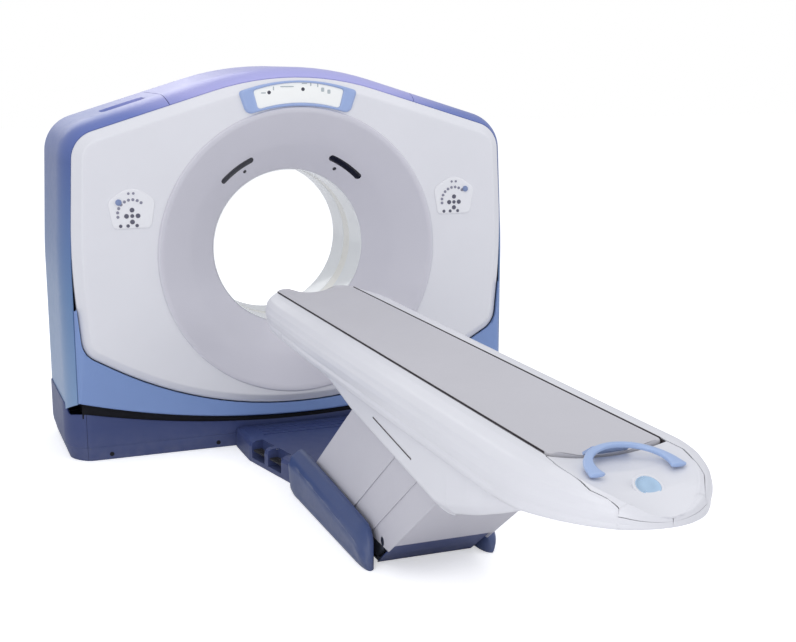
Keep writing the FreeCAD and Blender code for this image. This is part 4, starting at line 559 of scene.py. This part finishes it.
def round_plate(x, z, r, levels, steps=28):
    """A plate on a circle."""
    a = np.linspace(0, 2 * np.pi, steps, endpoint=False)
    ray = np.stack([np.cos(a), np.sin(a)], 1)
    return plate([x, z] + r * ray, ray, levels, (x, z))


frame_line = rounded(both_sides([(0, 876, 880), (300, 786, 18), (262, 675, 34), (0, 745, 860)]), 260)[0]
hole_line, hole_out = rounded(both_sides([(0, 860, 730), (230, 791, 14), (206, 700, 16), (0, 755, 730)]), 260)
surround = band(frame_line, hole_line, [(0, 432), (0, 442), (0.06, 448), (0.2, 452.5), (0.4, 454),
                                        (0.75, 454), (0.92, 453), (1, 450), (1, 432)])
piece("display_surround", "gantry", "pale_blue", [surround], ["display_frame"], crease=50)


def window_finish():
    """A back-lit film: near white, a little warmer and cooler in soft patches."""
    material = finish("window_film_lit", (0.80, 0.81, 0.80), 0.2, variation=0.06, coat=0.3)
    shader = material.node_tree.nodes["Principled BSDF"]
    shader.inputs["Emission Color"].default_value = (1.0, 0.99, 0.96, 1)
    shader.inputs["Emission Strength"].default_value = 0.12
    return material


piece("display_pane", "gantry", "scan_window",
      [plate(hole_line, hole_out, [(0.6, 432), (0.6, 446), (2, 447.5), (4, 448)], (0, 776))],
      ["display_window"], window_finish())


def tile(x, z, half_x, half_z, power):
    """A thin tile on the pane: a rounded square or, with power 2, a disc."""
    a = np.linspace(0, 2 * np.pi, 28, endpoint=False)
    reach = (np.abs(np.cos(a)) ** power + np.abs(np.sin(a)) ** power) ** (-1 / power)
    line = np.stack([x + half_x * reach * np.cos(a), z + half_z * reach * np.sin(a)], 1)
    levels = [(0, PANE_Y), (0, PANE_Y + 0.36), (min(half_x, half_z) * 0.12, PANE_Y + 0.6)]
    return plate(line, np.stack([np.cos(a), np.sin(a)], 1), levels, (x, z))


dots = [tile(x, z, r, r, 2.0) for x, z, r in ((-150, 781, 9), (20, 795, 9))]
bars = [tile(x, z, w, h, 6.0) for x, z, w, h in (
    (-178, 779, 12, 3), (-128, 800, 3, 9), (28, 822, 14, 2.5), (60, 818, 3, 8), (-60, 808, 34, 3),
    (120, 792, 8, 10), (152, 782, 8, 10), (95, 812, 3, 8))]
ink = finish("film_print", (0.06, 0.06, 0.08), 0.4)
pale_ink = finish("film_tint", (0.45, 0.50, 0.52), 0.4)
piece("display_dots", "gantry", "dark_glass", dots, paint=ink)
piece("display_bars", "gantry", "dark_glass", bars, paint=pale_ink)

# ---- Control panels ----
# A raised fan-shaped membrane on each side of the bore, with a cross of round keys, an arc of small keys
# and a row below; the push button stands in its upper outer corner.
PANEL_X, PANEL_Z = 826.0, 215.0
KEY_Y, KEY_HEIGHT = 443.2, 2.6
BUTTON_X, BUTTON_Z, BUTTON_R = 888.0, 281.0, 15.0


def key(x, z, r):
    """A domed round key that stands KEY_HEIGHT over the pad."""
    levels = [(0, KEY_Y - 1), (0, KEY_Y + 0.6 * KEY_HEIGHT), (0.18 * r, KEY_Y + 0.9 * KEY_HEIGHT),
              (0.55 * r, KEY_Y + KEY_HEIGHT)]
    return round_plate(x, z, r, levels)


def fan(side):
    """The panel's pad: an outline of three arcs and two corners with a rolled edge."""
    corners = [(-90, -60, 26), (90, -60, 26), (112, 72, 36), (0, 148, 100), (-112, 72, 36)]
    line, out = rounded([(side * PANEL_X + a, PANEL_Z + b, r) for a, b, r in corners], 200)
    out = out * np.sign(np.sum((line - [side * PANEL_X, PANEL_Z + 30]) * out))
    levels = [(0, 437.6), (0, 439.8), (1.4, 442), (4, 443), (9, 443)]
    return plate(line, out, levels, (side * PANEL_X, PANEL_Z + 28))


pad_white = finish("panel_film", (0.80, 0.80, 0.83), 0.3, variation=0.02)
key_dark = finish("key_film", (0.10, 0.10, 0.14), 0.4)
key_grey = finish("key_film_grey", (0.24, 0.24, 0.31), 0.4)
for name, side in (("left", -1), ("right", 1)):
    x = side * PANEL_X
    piece("panel_" + name, "gantry", "keypad", [fan(side)], ["control_panel_" + name], pad_white)
    cross = [key(x + a, PANEL_Z + b, 11) for a, b in ((0, 28), (-27, 0), (27, 0), (0, -28))]
    cross.append(key(x, PANEL_Z, 9))
    cross += [key(x + a, PANEL_Z - 46, 8) for a in (-56, -21, 21)]
    piece("panel_keys_" + name, "gantry", "keypad", cross, paint=key_dark)
    turn = np.radians(np.linspace(-100, 40, 9))
    arc = [key(x + 68 * math.sin(t), PANEL_Z + 9 + 68 * math.cos(t), 7) for t in turn]
    arc += [key(x + a, PANEL_Z + 106, 6) for a in (-14, 9)]
    piece("panel_small_keys_" + name, "gantry", "keypad", arc, paint=key_grey)
    cap = round_plate(side * BUTTON_X, BUTTON_Z, BUTTON_R,
                      [(0.4, 441.3), (0.4, 448), (1.5, 450), (5, 451.4), (10, 451.9)], 40)
    button = "scan_button_" + name
    piece("scan_button_cap_" + name, "scan_button_" + name[0], "button_grey", [cap], [button])

# ---- Lower crescents ----
# Light-blue panels fill the space between each face cover's lower edge and the base. They wrap round the
# gantry's corners with a soft roll, and their lower edges follow the gantry's tilt.
CRESCENT_Y, CRESCENT_ROLL, CRESCENT_WALL, SIDE_X, RAYS_Z = 416.0, 20.0, 4.0, 1112.0, 400.0


def by_angle(x, z, angle):
    """Distance of a curve from the point RAYS_Z over the scan axis, read at the given angles."""
    at = np.arctan2(x, RAYS_Z - z)
    order = np.argsort(at)
    return np.interp(angle, at[order], np.hypot(x, RAYS_Z - z)[order])


def crescent(side):
    """Rows run from the inner edge to the outer one along rays from that point. The depth is flat and
    falls in a quarter ellipse over the roll, which is wide at the corners and narrow below."""
    line, out = rounded(FACE_OUTLINE, 6000)
    line = line + 3 * out
    x = np.linspace(-SIDE_X, SIDE_X, 1500)
    edge = -np.sqrt((932 - x ** 2 / 9300) ** 2 - CRESCENT_Y ** 2)
    rise = np.linspace(-200, edge[0], 300)
    flank = np.full(300, SIDE_X)
    border = np.concatenate([[-flank, rise], [x, edge], [flank, rise[::-1]]], 1)
    tip = math.atan2(SIDE_X, RAYS_Z + 230)
    angle = np.linspace(-tip, tip, 700)
    lower = line[:, 1] < -190
    near = by_angle(line[lower, 0], line[lower, 1], angle)
    far = np.maximum(by_angle(border[0], border[1], angle), near + 0.5)
    corner = np.clip((np.abs(angle) - 0.80) / 0.06, 0, 1)
    roll = np.minimum(12 + 36 * corner, 0.95 * (far - near))
    back = np.array([1, 0.7, 0.45, 0.25, 0.1, 0.02, 0])[:, None]
    flat = np.linspace(0.1, 0.95, 8)[:, None]
    reach = np.concatenate([[near], [near], [near + 2.5], near + (far - roll - near) * flat,
                            far - roll * back, [far]])
    fall = CRESCENT_ROLL * (1 - np.sqrt(1 - (1 - back) ** 2))
    sunk = np.concatenate([[[14], [3], [0]], 0 * flat, fall, [[CRESCENT_ROLL + 3]]])
    depth = CRESCENT_Y - sunk + 0 * near
    grid = np.stack([reach * np.sin(angle), side * depth, ISO_Z + RAYS_Z - reach * np.cos(angle)], -1)
    return walled(grid, CRESCENT_WALL, (0, 0, ISO_Z))


def belly():
    """A skin on the barrel under the gantry, which turns about the tilt axis."""
    x = np.linspace(-958, 958, 60)[:, None]
    a = np.linspace(-25.4, 25.4, 40)[None] * np.pi / 180
    r = 916.5 - x ** 2 / 7476
    grid = np.stack([x + 0 * a, r * np.sin(a), ISO_Z - r * np.cos(a)], -1)
    return walled(grid, CRESCENT_WALL, (0, 0, ISO_Z))


piece("crescent_front", "gantry", "light_blue", [crescent(-1)], ["lower_front_panel"])
piece("crescent_rear", "gantry", "light_blue", [crescent(1), belly()], ["lower_rear_panel"])

# ---- Gantry base covers ----
# Four vacuum-formed navy covers stand round the base frame: their tops follow the tilting gantry, their
# feet draw in towards the floor, and they meet at upright seams. A near-black brush seal closes the slit
# above them; its darkness is also the painted shadow in that gap.
BASE_X, BASE_Y, BASE_R, BASE_TOP = 1169.0, 356.0, 130.0, 288.0
BASE_SEAM_X, BASE_GAP, BASE_WALL = 1072.0, 0.7, 4.0
CAP_Z, CAP_R = 26.0, 11.0


def base_top(x, y):
    """Height of the covers' upper edge: the barrel that the gantry sweeps, and level at the sides."""
    swept = ISO_Z - np.sqrt((940 - x ** 2 / 10600) ** 2 - y ** 2)
    side = step(np.abs(x), BASE_X - 14, 20)
    return np.minimum(swept * (1 - side) + BASE_TOP * side, BASE_TOP)


def base_cover(keep):
    """Columns run along the plan outline where keep is true; rows go from the rolled top edge down past
    a shallow step to the foot, which is drawn in along the outline's normal."""
    plan = [(a * BASE_X, b * BASE_Y, BASE_R) for a, b in ((-1, 1), (-1, -1), (1, -1), (1, 1))]
    line, out = rounded(plan, 6000)
    on = keep(line[:, 0], line[:, 1])
    line, out = (np.roll(v, -np.argmax(on & ~np.roll(on, 1)), 0) for v in (line, out))
    pick = np.linspace(0, on.sum() - 1, max(40, on.sum() // 14)).astype(int)
    line, out = line[pick], out[pick]
    top = base_top(line[:, 0], line[:, 1])
    rolled = np.array([[9, 2], [4, 0.3], [1.5, 1], [0.3, 4], [0, 10]])
    t = np.linspace(0, 1, 44)[1:, None]
    z = np.concatenate([top - rolled[:, 1:], (top - 10) * (1 - t)])
    draw = 3 + 21 * step(np.abs(line[:, 0]), 1105, 130)
    plinth = 2 * step(-z, -62, 5) + 3 * np.exp(-((z - 64) / 3) ** 2)
    inset = draw * np.clip((110 - z) / 110, 0, 1) ** 1.6 + plinth
    inset[:5] += rolled[:, :1]
    grid = line[None] - inset[..., None] * out[None]
    return walled(np.concatenate([grid, z[..., None]], -1), BASE_WALL, (0, 0, 100))


front_base = base_cover(lambda x, y: (y < 0) & (np.abs(x) < BASE_SEAM_X - BASE_GAP))
rear_base = base_cover(lambda x, y: (y > 0) & (np.abs(x) < BASE_SEAM_X - BASE_GAP))
side_base = base_cover(lambda x, y: x > BASE_SEAM_X + BASE_GAP)
piece("base_cover_front", "base", "navy", [front_base], ["base_front_cover"])
piece("base_cover_rear", "base", "navy", [rear_base], ["base_rear_cover"])
piece("base_cover_right", "base", "navy", [side_base], ["base_side_cover_right"])
piece("base_cover_left", "base", "navy", [mirrored(side_base)], ["base_side_cover_left"])


def seal_and_gap_shadow_strip(side):
    """A thin upright strip just inside the cover, from below its edge to near the gantry's underside: a seal
    whose near-black paint is also the painted shadow in the gap.
    """
    x = np.linspace(-1090, 1090, 160)[:, None]
    y = side * (BASE_Y - 8)
    low = ISO_Z - np.sqrt((960 - x ** 2 / 10600) ** 2 - y ** 2)
    high = ISO_Z - np.sqrt((922.5 - x ** 2 / 7476) ** 2 - y ** 2)
    z = np.concatenate([low, high], 1)
    return walled(np.stack([x + 0 * z, y + 0 * z, z], -1), 2.0, (0, 0, ISO_Z))


def foot_cap(x):
    """A round cap over a screw in the base cover's foot."""
    return round_plate(x, CAP_Z - ISO_Z, CAP_R, [(0, 340), (0, 352.6), (2, 354.6), (5, 355)])


def floor_pan():
    """A closed sheet just over the floor that keeps dust out of the base."""
    x, y = np.linspace(-1080, 1080, 30)[:, None], np.linspace(-330, 330, 12)[None]
    return walled(np.stack([x + 0 * y, y + 0 * x, 5.0 + 0 * x * y], -1), 2.0, (0, 0, -100))


# Near black: rubber for the caps and the pan, and on the seal strips also the painted shadow of the gap under
# the crescents.
black_rubber_and_gap_shadow = finish("black_rubber_and_painted_gap_shadow", (0.004, 0.004, 0.008), 0.9)
piece("base_seals_and_gap_shadow", "base", "rubber", [seal_and_gap_shadow_strip(-1), seal_and_gap_shadow_strip(1)], paint=black_rubber_and_gap_shadow)
piece("base_floor_pan", "base", "rubber", [floor_pan()], paint=black_rubber_and_gap_shadow)
piece("base_caps", "base", "rubber", [foot_cap(x) for x in (-957, -424, 424, 957)], paint=black_rubber_and_gap_shadow)

# ---- Table foot covers ----
# A bulbous moulded fairing on each side of the pedestal: high at the gantry's end, falling towards the
# kick plate, with a long scoop pressed into its flank.
FOOT_IN, FOOT_HEAD_Y, FOOT_TAIL_Y = 223.0, -1102.0, -2137.0


def end_round(distance, length, power):
    """0 at an end, rising to 1 over length as a superellipse does."""
    t = np.clip(distance / length, 0, 1)
    return (1 - (1 - t) ** power) ** (1 / power)


def foot_fairing():
    """Sections across the fairing from the inner foot over the crown to the outer foot; their width and
    height run out at both ends, and the flank is pushed in by the scoop."""
    k = np.linspace(0, 1, 110)
    y = FOOT_HEAD_Y + (FOOT_TAIL_Y - FOOT_HEAD_Y) * (k - 0.06 * np.sin(4 * np.pi * k) / 2)
    rows = []
    for v in y:
        along = (FOOT_HEAD_Y - v) / (FOOT_HEAD_Y - FOOT_TAIL_Y)
        crown = 216 - 62 * along ** 1.35
        tail = end_round(v - FOOT_TAIL_Y, 120, 2.1)
        wide = end_round(FOOT_HEAD_Y - v, 110, 2.3) * tail
        tall = end_round(FOOT_HEAD_Y - v, 100, 2.2) * end_round(v - FOOT_TAIL_Y, 130, 2.2)
        knee = crown * (0.80 - 0.18 * along)
        line, _ = rounded([(0, 0, 0), (0, crown - 6, 16), (24, crown, 26), (62, knee + 16, 34),
                           (80, knee - 22, 34), (70, 28, 50), (56, 0, 0)], 56, closed=False)
        scoop = 9 * step(along, 0.16, 0.14) * step(-along, -0.93, 0.1) * step(-line[:, 1], -(knee - 8), 10)
        scoop = scoop * step(line[:, 1], 22, 16) * (line[:, 0] > 30)
        x = FOOT_IN + 36 * (1 - tail) + (line[:, 0] - scoop) * wide
        rows.append(np.stack([x, np.full(len(line), v), line[:, 1] * tall], 1))
    grid = np.array(rows)
    head, tail = (np.array([[[FOOT_IN, v, 0.0]]]) + 0 * grid[:1] for v in (y[0], y[-1]))
    return np.concatenate([head, grid, tail]), False, True


foot_paint = finish("foot_plastic", (0.036, 0.066, 0.19), 0.36, grain=0.35, scuff=0.3)
fairing = foot_fairing()
piece("foot_fairing_right", "base", "navy", [fairing], ["foot_cover_right"], foot_paint)
piece("foot_fairing_left", "base", "navy", [mirrored(fairing)], ["foot_cover_left"], foot_paint)

# ---- Table top covers ----
# White moulded covers: a long one on each side with two soft grooves, a dished lid over the foot end with
# its own seams, and a keel underneath that reaches down to the pedestal.
END_Y0, END_LENGTH, APEX_Y, LID_Y = -3330.0, 438.0, -3767.98, -3424.0
FULL_HALF, FULL_LOW, FULL_DEPTH, CHANNEL_X = 300.0, 660.0, 178.0, 199.5


def along_table(y, *stations):
    """A value that runs straight between stations (y, value), listed from the gantry's end."""
    s = np.array(stations[::-1], float)
    return np.interp(y, s[:, 0], s[:, 1])


def table_width(y):
    """Half width: the nose's stations, full along the middle, and half an ellipse at the foot end."""
    nose = along_table(y, (-622, 120), (-642, 190), (-664, 224), (-690, 246), (-730, 267), (-780, 282),
                       (-860, 294), (-950, FULL_HALF))
    return nose * np.sqrt(1 - (np.clip(END_Y0 - y, 0, None) / END_LENGTH) ** 2)


def rim_z(y):
    """Height of the covers' top edge."""
    return along_table(y, (-646, 800), (-654, 820), (-668, 834), (-686, 838), (-3400, 838), (-3500, 834),
                       (-3600, 820), (-3680, 798), (-3728, 776), (-3768, 749))


def sole_z(y):
    """Height of the covers' under side."""
    return along_table(y, (-642, 714), (-690, 704), (-780, 698), (-950, 690), (-1500, 672), (-3250, 666),
                       (-3400, 676), (-3520, 690), (-3620, 700), (-3710, 708), (-3768, 717))


def lid_seam(y):
    """Half the lid's width at its seams; beyond the rim's turn the lid runs to the edge."""
    return along_table(y, (-3424, 199), (-3500, 205), (-3640, 181), (-3716, 134), (-3727, 400), (-3768, 400))


def lid_z(x, y):
    """The dished top, falling towards the end and rising to the rim as x squared."""
    middle = along_table(y, (-3424, 812), (-3545, 806), (-3655, 786), (-3720, 764), (-3768, 747))
    edge = np.minimum(lid_seam(y), 0.8 * table_width(y))
    return middle + (rim_z(y) - 1 - middle) * np.clip(np.abs(x) / np.maximum(edge, 1), 0, 1) ** 2


def table_section(y, lidded):
    """Half of a cross section at y, from the middle or the channel's edge over the rim, down the grooved
    side and in under the sole, as 500 even points."""
    w, top, low = float(table_width(y)), float(rim_z(y)), float(sole_z(y))
    k, m = w / FULL_HALF, (top - low) / FULL_DEPTH
    if lidded:
        edge = min(float(lid_seam(y)), 0.72 * w)
        start = [(x, float(lid_z(x, y)), 0) for x in np.linspace(0, edge, 11)]
    else:
        start = [(min(CHANNEL_X, w - 6), top, 0)]
    side = [(232, 837, 20), (272, 822, 30), (291, 796, 20), (293, 781, 12), (299, 765, 16), (300, 743, 20),
            (295, 716, 12), (291, 706, 10), (294, 690, 14), (288, 668, 16), (262, 660, 16)]
    side = [(w - (FULL_HALF - x) * k, low + (z - FULL_LOW) * m, r * min(k, m)) for x, z, r in side]
    side = [p for p in side if p[0] > start[-1][0] + 1]
    floor_edge = float(along_table(y, (-1074, 186.5), (-1078, 233), (-3270, 233), (-3460, 0)))
    return rounded(start + side + [(min(floor_edge, w - 45 * k), low, 0)], 500, closed=False)[0]


def cut_section(line, y, first, last, columns):
    """The stretch of a section between two places given as counts of its 500 points."""
    at = np.linspace(first, last, columns)
    i = np.arange(len(line))
    return np.stack([np.interp(at, i, line[:, 0]), np.full(columns, y), np.interp(at, i, line[:, 1])], 1)


def lid_split(line, y):
    """Where the lid ends on a section: at its side seam, or over the edge at the parting line."""
    parting = sole_z(y) + 0.55 * (rim_z(y) - sole_z(y))
    over = int(np.argmax(line[:, 1] < parting))
    beside = int(np.argmax(line[:, 0] > lid_seam(y)))
    return min(beside, over) if beside else over


def side_cover_grid(y_values, lidded):
    """The sections' outer stretches, from the lid's seam or the channel's edge down and under."""
    rows = []
    for y in y_values:
        line = table_section(y, lidded)
        first = lid_split(line, y) + 1.5 if lidded else 0.0
        rows.append(cut_section(line, y, first, 499, 130))
    return np.array(rows)


long_run = np.linspace(-3420, -960, 200)
nose_run = -955 + 309 * np.sin(np.linspace(0, 0.5, 36) * np.pi)
end_run = LID_Y + (APEX_Y - LID_Y) * np.sin(np.linspace(0.5, 0, 90) * np.pi)
open_run = np.concatenate([[LID_Y + 0.5], long_run, nose_run])
cover = np.concatenate([side_cover_grid(end_run, True), side_cover_grid(open_run, False)])
cover = walled(cover, 3.5, (0, -2000, 760))
piece("table_cover_right", "table", "white", [cover], ["table_side_cover_right"])
piece("table_cover_left", "table", "white", [mirrored(cover)], ["table_side_cover_left"])


def lid_grid():
    """Both halves of the sections' inner stretches, from one seam to the other."""
    rows = []
    for y in end_run:
        line = table_section(y, True)
        half = cut_section(line, y, 0, lid_split(line, y) - 2.0, 70)
        rows.append(np.concatenate([half[::-1] * [-1, 1, 1], half[1:]]))
    return np.array(rows)


piece("table_lid", "table", "white", [walled(lid_grid(), 3.5, (0, -3600, 500))], ["table_end_cover"])


def keel_grid():
    """Half sections of the keel from the sole's height down its flank and in under it, open at the well."""
    rows = []
    well = [-2860.5], np.linspace(-2860, -1080, 90), [-1079.5]
    for y in np.concatenate([np.linspace(-3330, -2862, 60), *well, np.linspace(-1078, -730, 30)]):
        w = along_table(y, (-720, 180), (-860, 232), (-1100, 254), (-1650, 262), (-2860, 262), (-3010, 256),
                        (-3150, 240), (-3270, 208), (-3330, 160))
        low = along_table(y, (-720, 690), (-860, 680), (-1100, 664), (-1650, 618), (-1909, 563), (-2738, 459),
                          (-2800, 462), (-2860, 474), (-3010, 520), (-3150, 572), (-3270, 624), (-3330, 655))
        r = min(34.0, (735 - low) * 0.3)
        inner = 234.0 if -2860.4 < y < -1079.8 else 0.0
        upper_r, lower_r = (34, 18) if low < 640 else (8, 6)
        line = rounded([(w, 735, 0), (w, low + r, upper_r), (w - r, low, lower_r),
                        (min(inner, w - r - 2), low, 0)], 60, closed=False)[0]
        rows.append(np.stack([line[:, 0], np.full(60, y), line[:, 1]], 1))
    return walled(np.array(rows), 4.0, (0, -2000, 800))


keel = keel_grid()
piece("table_keel", "table", "white", [keel, mirrored(keel)], ["table_under_cover"])


def strip(points, width, thick):
    """A flat band along a line of points (x, y, z), its width upright."""
    p = np.array(points, float)
    s = np.linspace(0, len(p) - 1, 24)
    line = np.stack([np.interp(s, np.arange(len(p)), p[:, i]) for i in range(3)], 1)
    up = np.array([0, 0, width / 2])
    out = np.array([thick, 0, 0])
    ring = np.stack([line - up, line - up + out, line + up + out, line + up], 1)
    ends = [np.repeat(ring[i].mean(0)[None, None], 4, 1) for i in (0, -1)]
    return np.concatenate([ends[0], ring, ends[1]]), False, True


# This near-black paint is painted shadow: the strips below darken the channel's gaps and a slit in the keel.
gap_shadow_paint = finish("painted_gap_shadow", (0.055, 0.045, 0.05), 0.5)
# Dark strips down the channel between cradle and cover paint the gap's shadow.
channel_gap_shadows = [strip([(x, -3420, 815), (x, -660, 815)], 34, 2) for x in (-197.5, 195.5)]
# Dark strips on the cradle's side edges paint the shadow of the gap between cover and cradle.
cradle_gap_shadows = [strip([(x, -3396, 839), (x, -676, 839)], 6, 1.5) for x in (-193, 191.5)]
# Dark strips on the keel's flanks paint the shade inside a thin slit there.
keel_slit_shades = [strip([(x, -2180, 626), (x, -2560, 576)], 5, 3) for x in (-263.5, 260.5)]
piece("channel_gap_shadow_strips", "table", "rubber", channel_gap_shadows, paint=gap_shadow_paint)
piece("cradle_gap_shadow_strips", "cradle", "rubber", cradle_gap_shadows, paint=gap_shadow_paint)
piece("keel_slit_shade_strips", "table", "rubber", keel_slit_shades, paint=gap_shadow_paint)

# ---- Lid badge ----
# A plain round metal disc is bonded into a shallow moulded ring on the lid, tipped towards the foot end.
BADGE_Y, BADGE_SCALE, BADGE_TIP = -3640.0, 1.2, math.radians(27)


def badge(profile):
    """A profile (radius, height) turned about an axis that leans towards the foot end."""
    a = np.linspace(0, 2 * np.pi, 64, endpoint=False)
    r, h = BADGE_SCALE * profile[:, 0, None], profile[:, 1, None] + 4
    side, fore, up = r * np.cos(a), r * np.sin(a), h + 0 * a
    y = BADGE_Y + fore * math.cos(BADGE_TIP) - up * math.sin(BADGE_TIP)
    z = float(lid_z(0, BADGE_Y)) + fore * math.sin(BADGE_TIP) + up * math.cos(BADGE_TIP)
    return np.stack([side, y, z], -1), False, True


badge_metal = finish("badge_metal", (0.36, 0.50, 0.66), 0.28, metallic=0.6)
badge_body = np.array([[0, -24], [34, -24], [38, -20], [38.5, 1], [37, 3], [35, 3.4], [33, 2.4], [32, 1.4],
                       [0, 1.4]])
badge_face = np.array([[0, 0], [30, 0], [31, 1.2], [30.5, 2.3], [29, 2.6], [27.5, 2.2], [26, 1.9], [12, 2.5],
                       [0, 2.7]])
piece("badge_seat", "table", "white", [badge(badge_body)])
piece("badge_disc", "table", "machined_steel", [badge(badge_face)], paint=badge_metal)

# ---- Cradle and handle ----
# A long grey carbon tray with a dished top slides in the channel; at its foot end a pale-blue moulded
# grip arches over the lid.
CRADLE_HEAD, CRADLE_FOOT, CRADLE_HALF, HEAD_R, FOOT_R = -615.0, -3415.0, 192.0, 60.0, 24.0
DISH_X, DISH_Z, DISH_DEPTH = 178.0, 815.0, 26.0


def cradle_grid():
    """A closed section swept along the table, narrowed at both ends by its corner radii."""
    x = np.linspace(-DISH_X, DISH_X, 61)
    top = np.stack([x, DISH_Z + DISH_DEPTH * (x / DISH_X) ** 2], 1)
    flank = np.array([[183, 841.2], [187.5, 839.6], [190.6, 836], [192, 830], [190.5, 825], [159, 773],
                      [156, 771]])
    section = np.concatenate([top, flank, [[0, 771]], (flank * [-1, 1])[::-1]])
    a = 1 - np.cos(np.linspace(0, 0.5, 12) * np.pi)
    foot, head = CRADLE_FOOT + FOOT_R * a, CRADLE_HEAD - HEAD_R * a
    y = np.concatenate([foot, np.linspace(CRADLE_FOOT + 30, CRADLE_HEAD - 66, 60), head[::-1]])
    half = CRADLE_HALF
    for away, r in ((y - CRADLE_FOOT, FOOT_R), (CRADLE_HEAD - y, HEAD_R)):
        half = half - r + np.sqrt(r ** 2 - (r - np.clip(away, 0, r)) ** 2)
    grid = np.stack([section[None, :, 0] * half[:, None] / CRADLE_HALF, y[:, None] + 0 * section[None, :, 0],
                     section[None, :, 1] + 0 * y[:, None]], -1)
    caps = [np.array([[[0.0, v, 800.0]]]) + 0 * grid[:1] for v in (y[0], y[-1])]
    return np.concatenate([caps[0], grid, caps[1]]), False, True


cradle_paint = finish("cradle_mat", (0.56, 0.55, 0.585), 0.55, grain=0.5, variation=0.025)
piece("cradle_tray", "cradle", "grey", [cradle_grid()], ["cradle"], cradle_paint, crease=28)


def grip():
    """An oval section swept along two short legs and a half circle that rises to the cradle."""
    legs = np.linspace(-3598, -3574, 8)
    turn = np.linspace(np.pi, 0, 70)
    x = np.concatenate([np.full(8, -130.0), 130 * np.cos(turn), np.full(8, 130.0)])
    y = np.concatenate([legs, -3572 + 128 * np.sin(turn), legs[::-1]])
    z = 822 + 30 * np.clip((y + 3598) / 154, 0, 1) ** 1.1
    path = np.stack([x, y, z], 1)
    ahead = np.gradient(path, axis=0)
    ahead /= np.linalg.norm(ahead, axis=1)[:, None]
    across = np.cross(ahead, [0, 0, 1.0])
    across /= np.linalg.norm(across, axis=1)[:, None]
    up = np.cross(across, ahead)
    s = np.linspace(0, 1, len(x))
    end = end_round(np.minimum(s, 1 - s), 0.035, 2.2)[:, None]
    wide = (13 + 14 * np.clip(1 - np.minimum(s, 1 - s) / 0.26, 0, 1) ** 1.3)[:, None] * end
    thick = (8.0 - 1.2 * np.clip(1 - np.minimum(s, 1 - s) / 0.2, 0, 1))[:, None] * end
    a = np.linspace(0, 2 * np.pi, 32, endpoint=False)[None]
    u = np.sign(np.cos(a)) * np.abs(np.cos(a)) ** 0.75 * wide
    v = np.sign(np.sin(a)) * np.abs(np.sin(a)) ** 0.75 * thick
    grid = path[:, None] + u[..., None] * across[:, None] + v[..., None] * up[:, None]
    return grid, False, True


def handle_tab():
    """A plate from the grip's crest to the cradle's end, following the tray's dish."""
    x = np.linspace(-66, 66, 30)[:, None]
    y = np.linspace(-3444, -3404, 12)[None]
    t = (y + 3444) / 40
    top = 855 * (1 - t) + (DISH_Z + 9 + DISH_DEPTH * (x / DISH_X) ** 2) * t
    return walled(np.stack([x * (1 + 0.1 * t), y + 0 * x, top], -1), 9.0, (0, -3430, 0))


grip_paint = finish("grip_plastic", (0.34, 0.46, 0.72), 0.3, grain=0.25, coat=0.15)
piece("cradle_grip", "cradle", "pale_blue", [grip(), handle_tab()], ["cradle_handle"], grip_paint, crease=50)

bpy.context.scene.view_settings.view_transform = "Standard"
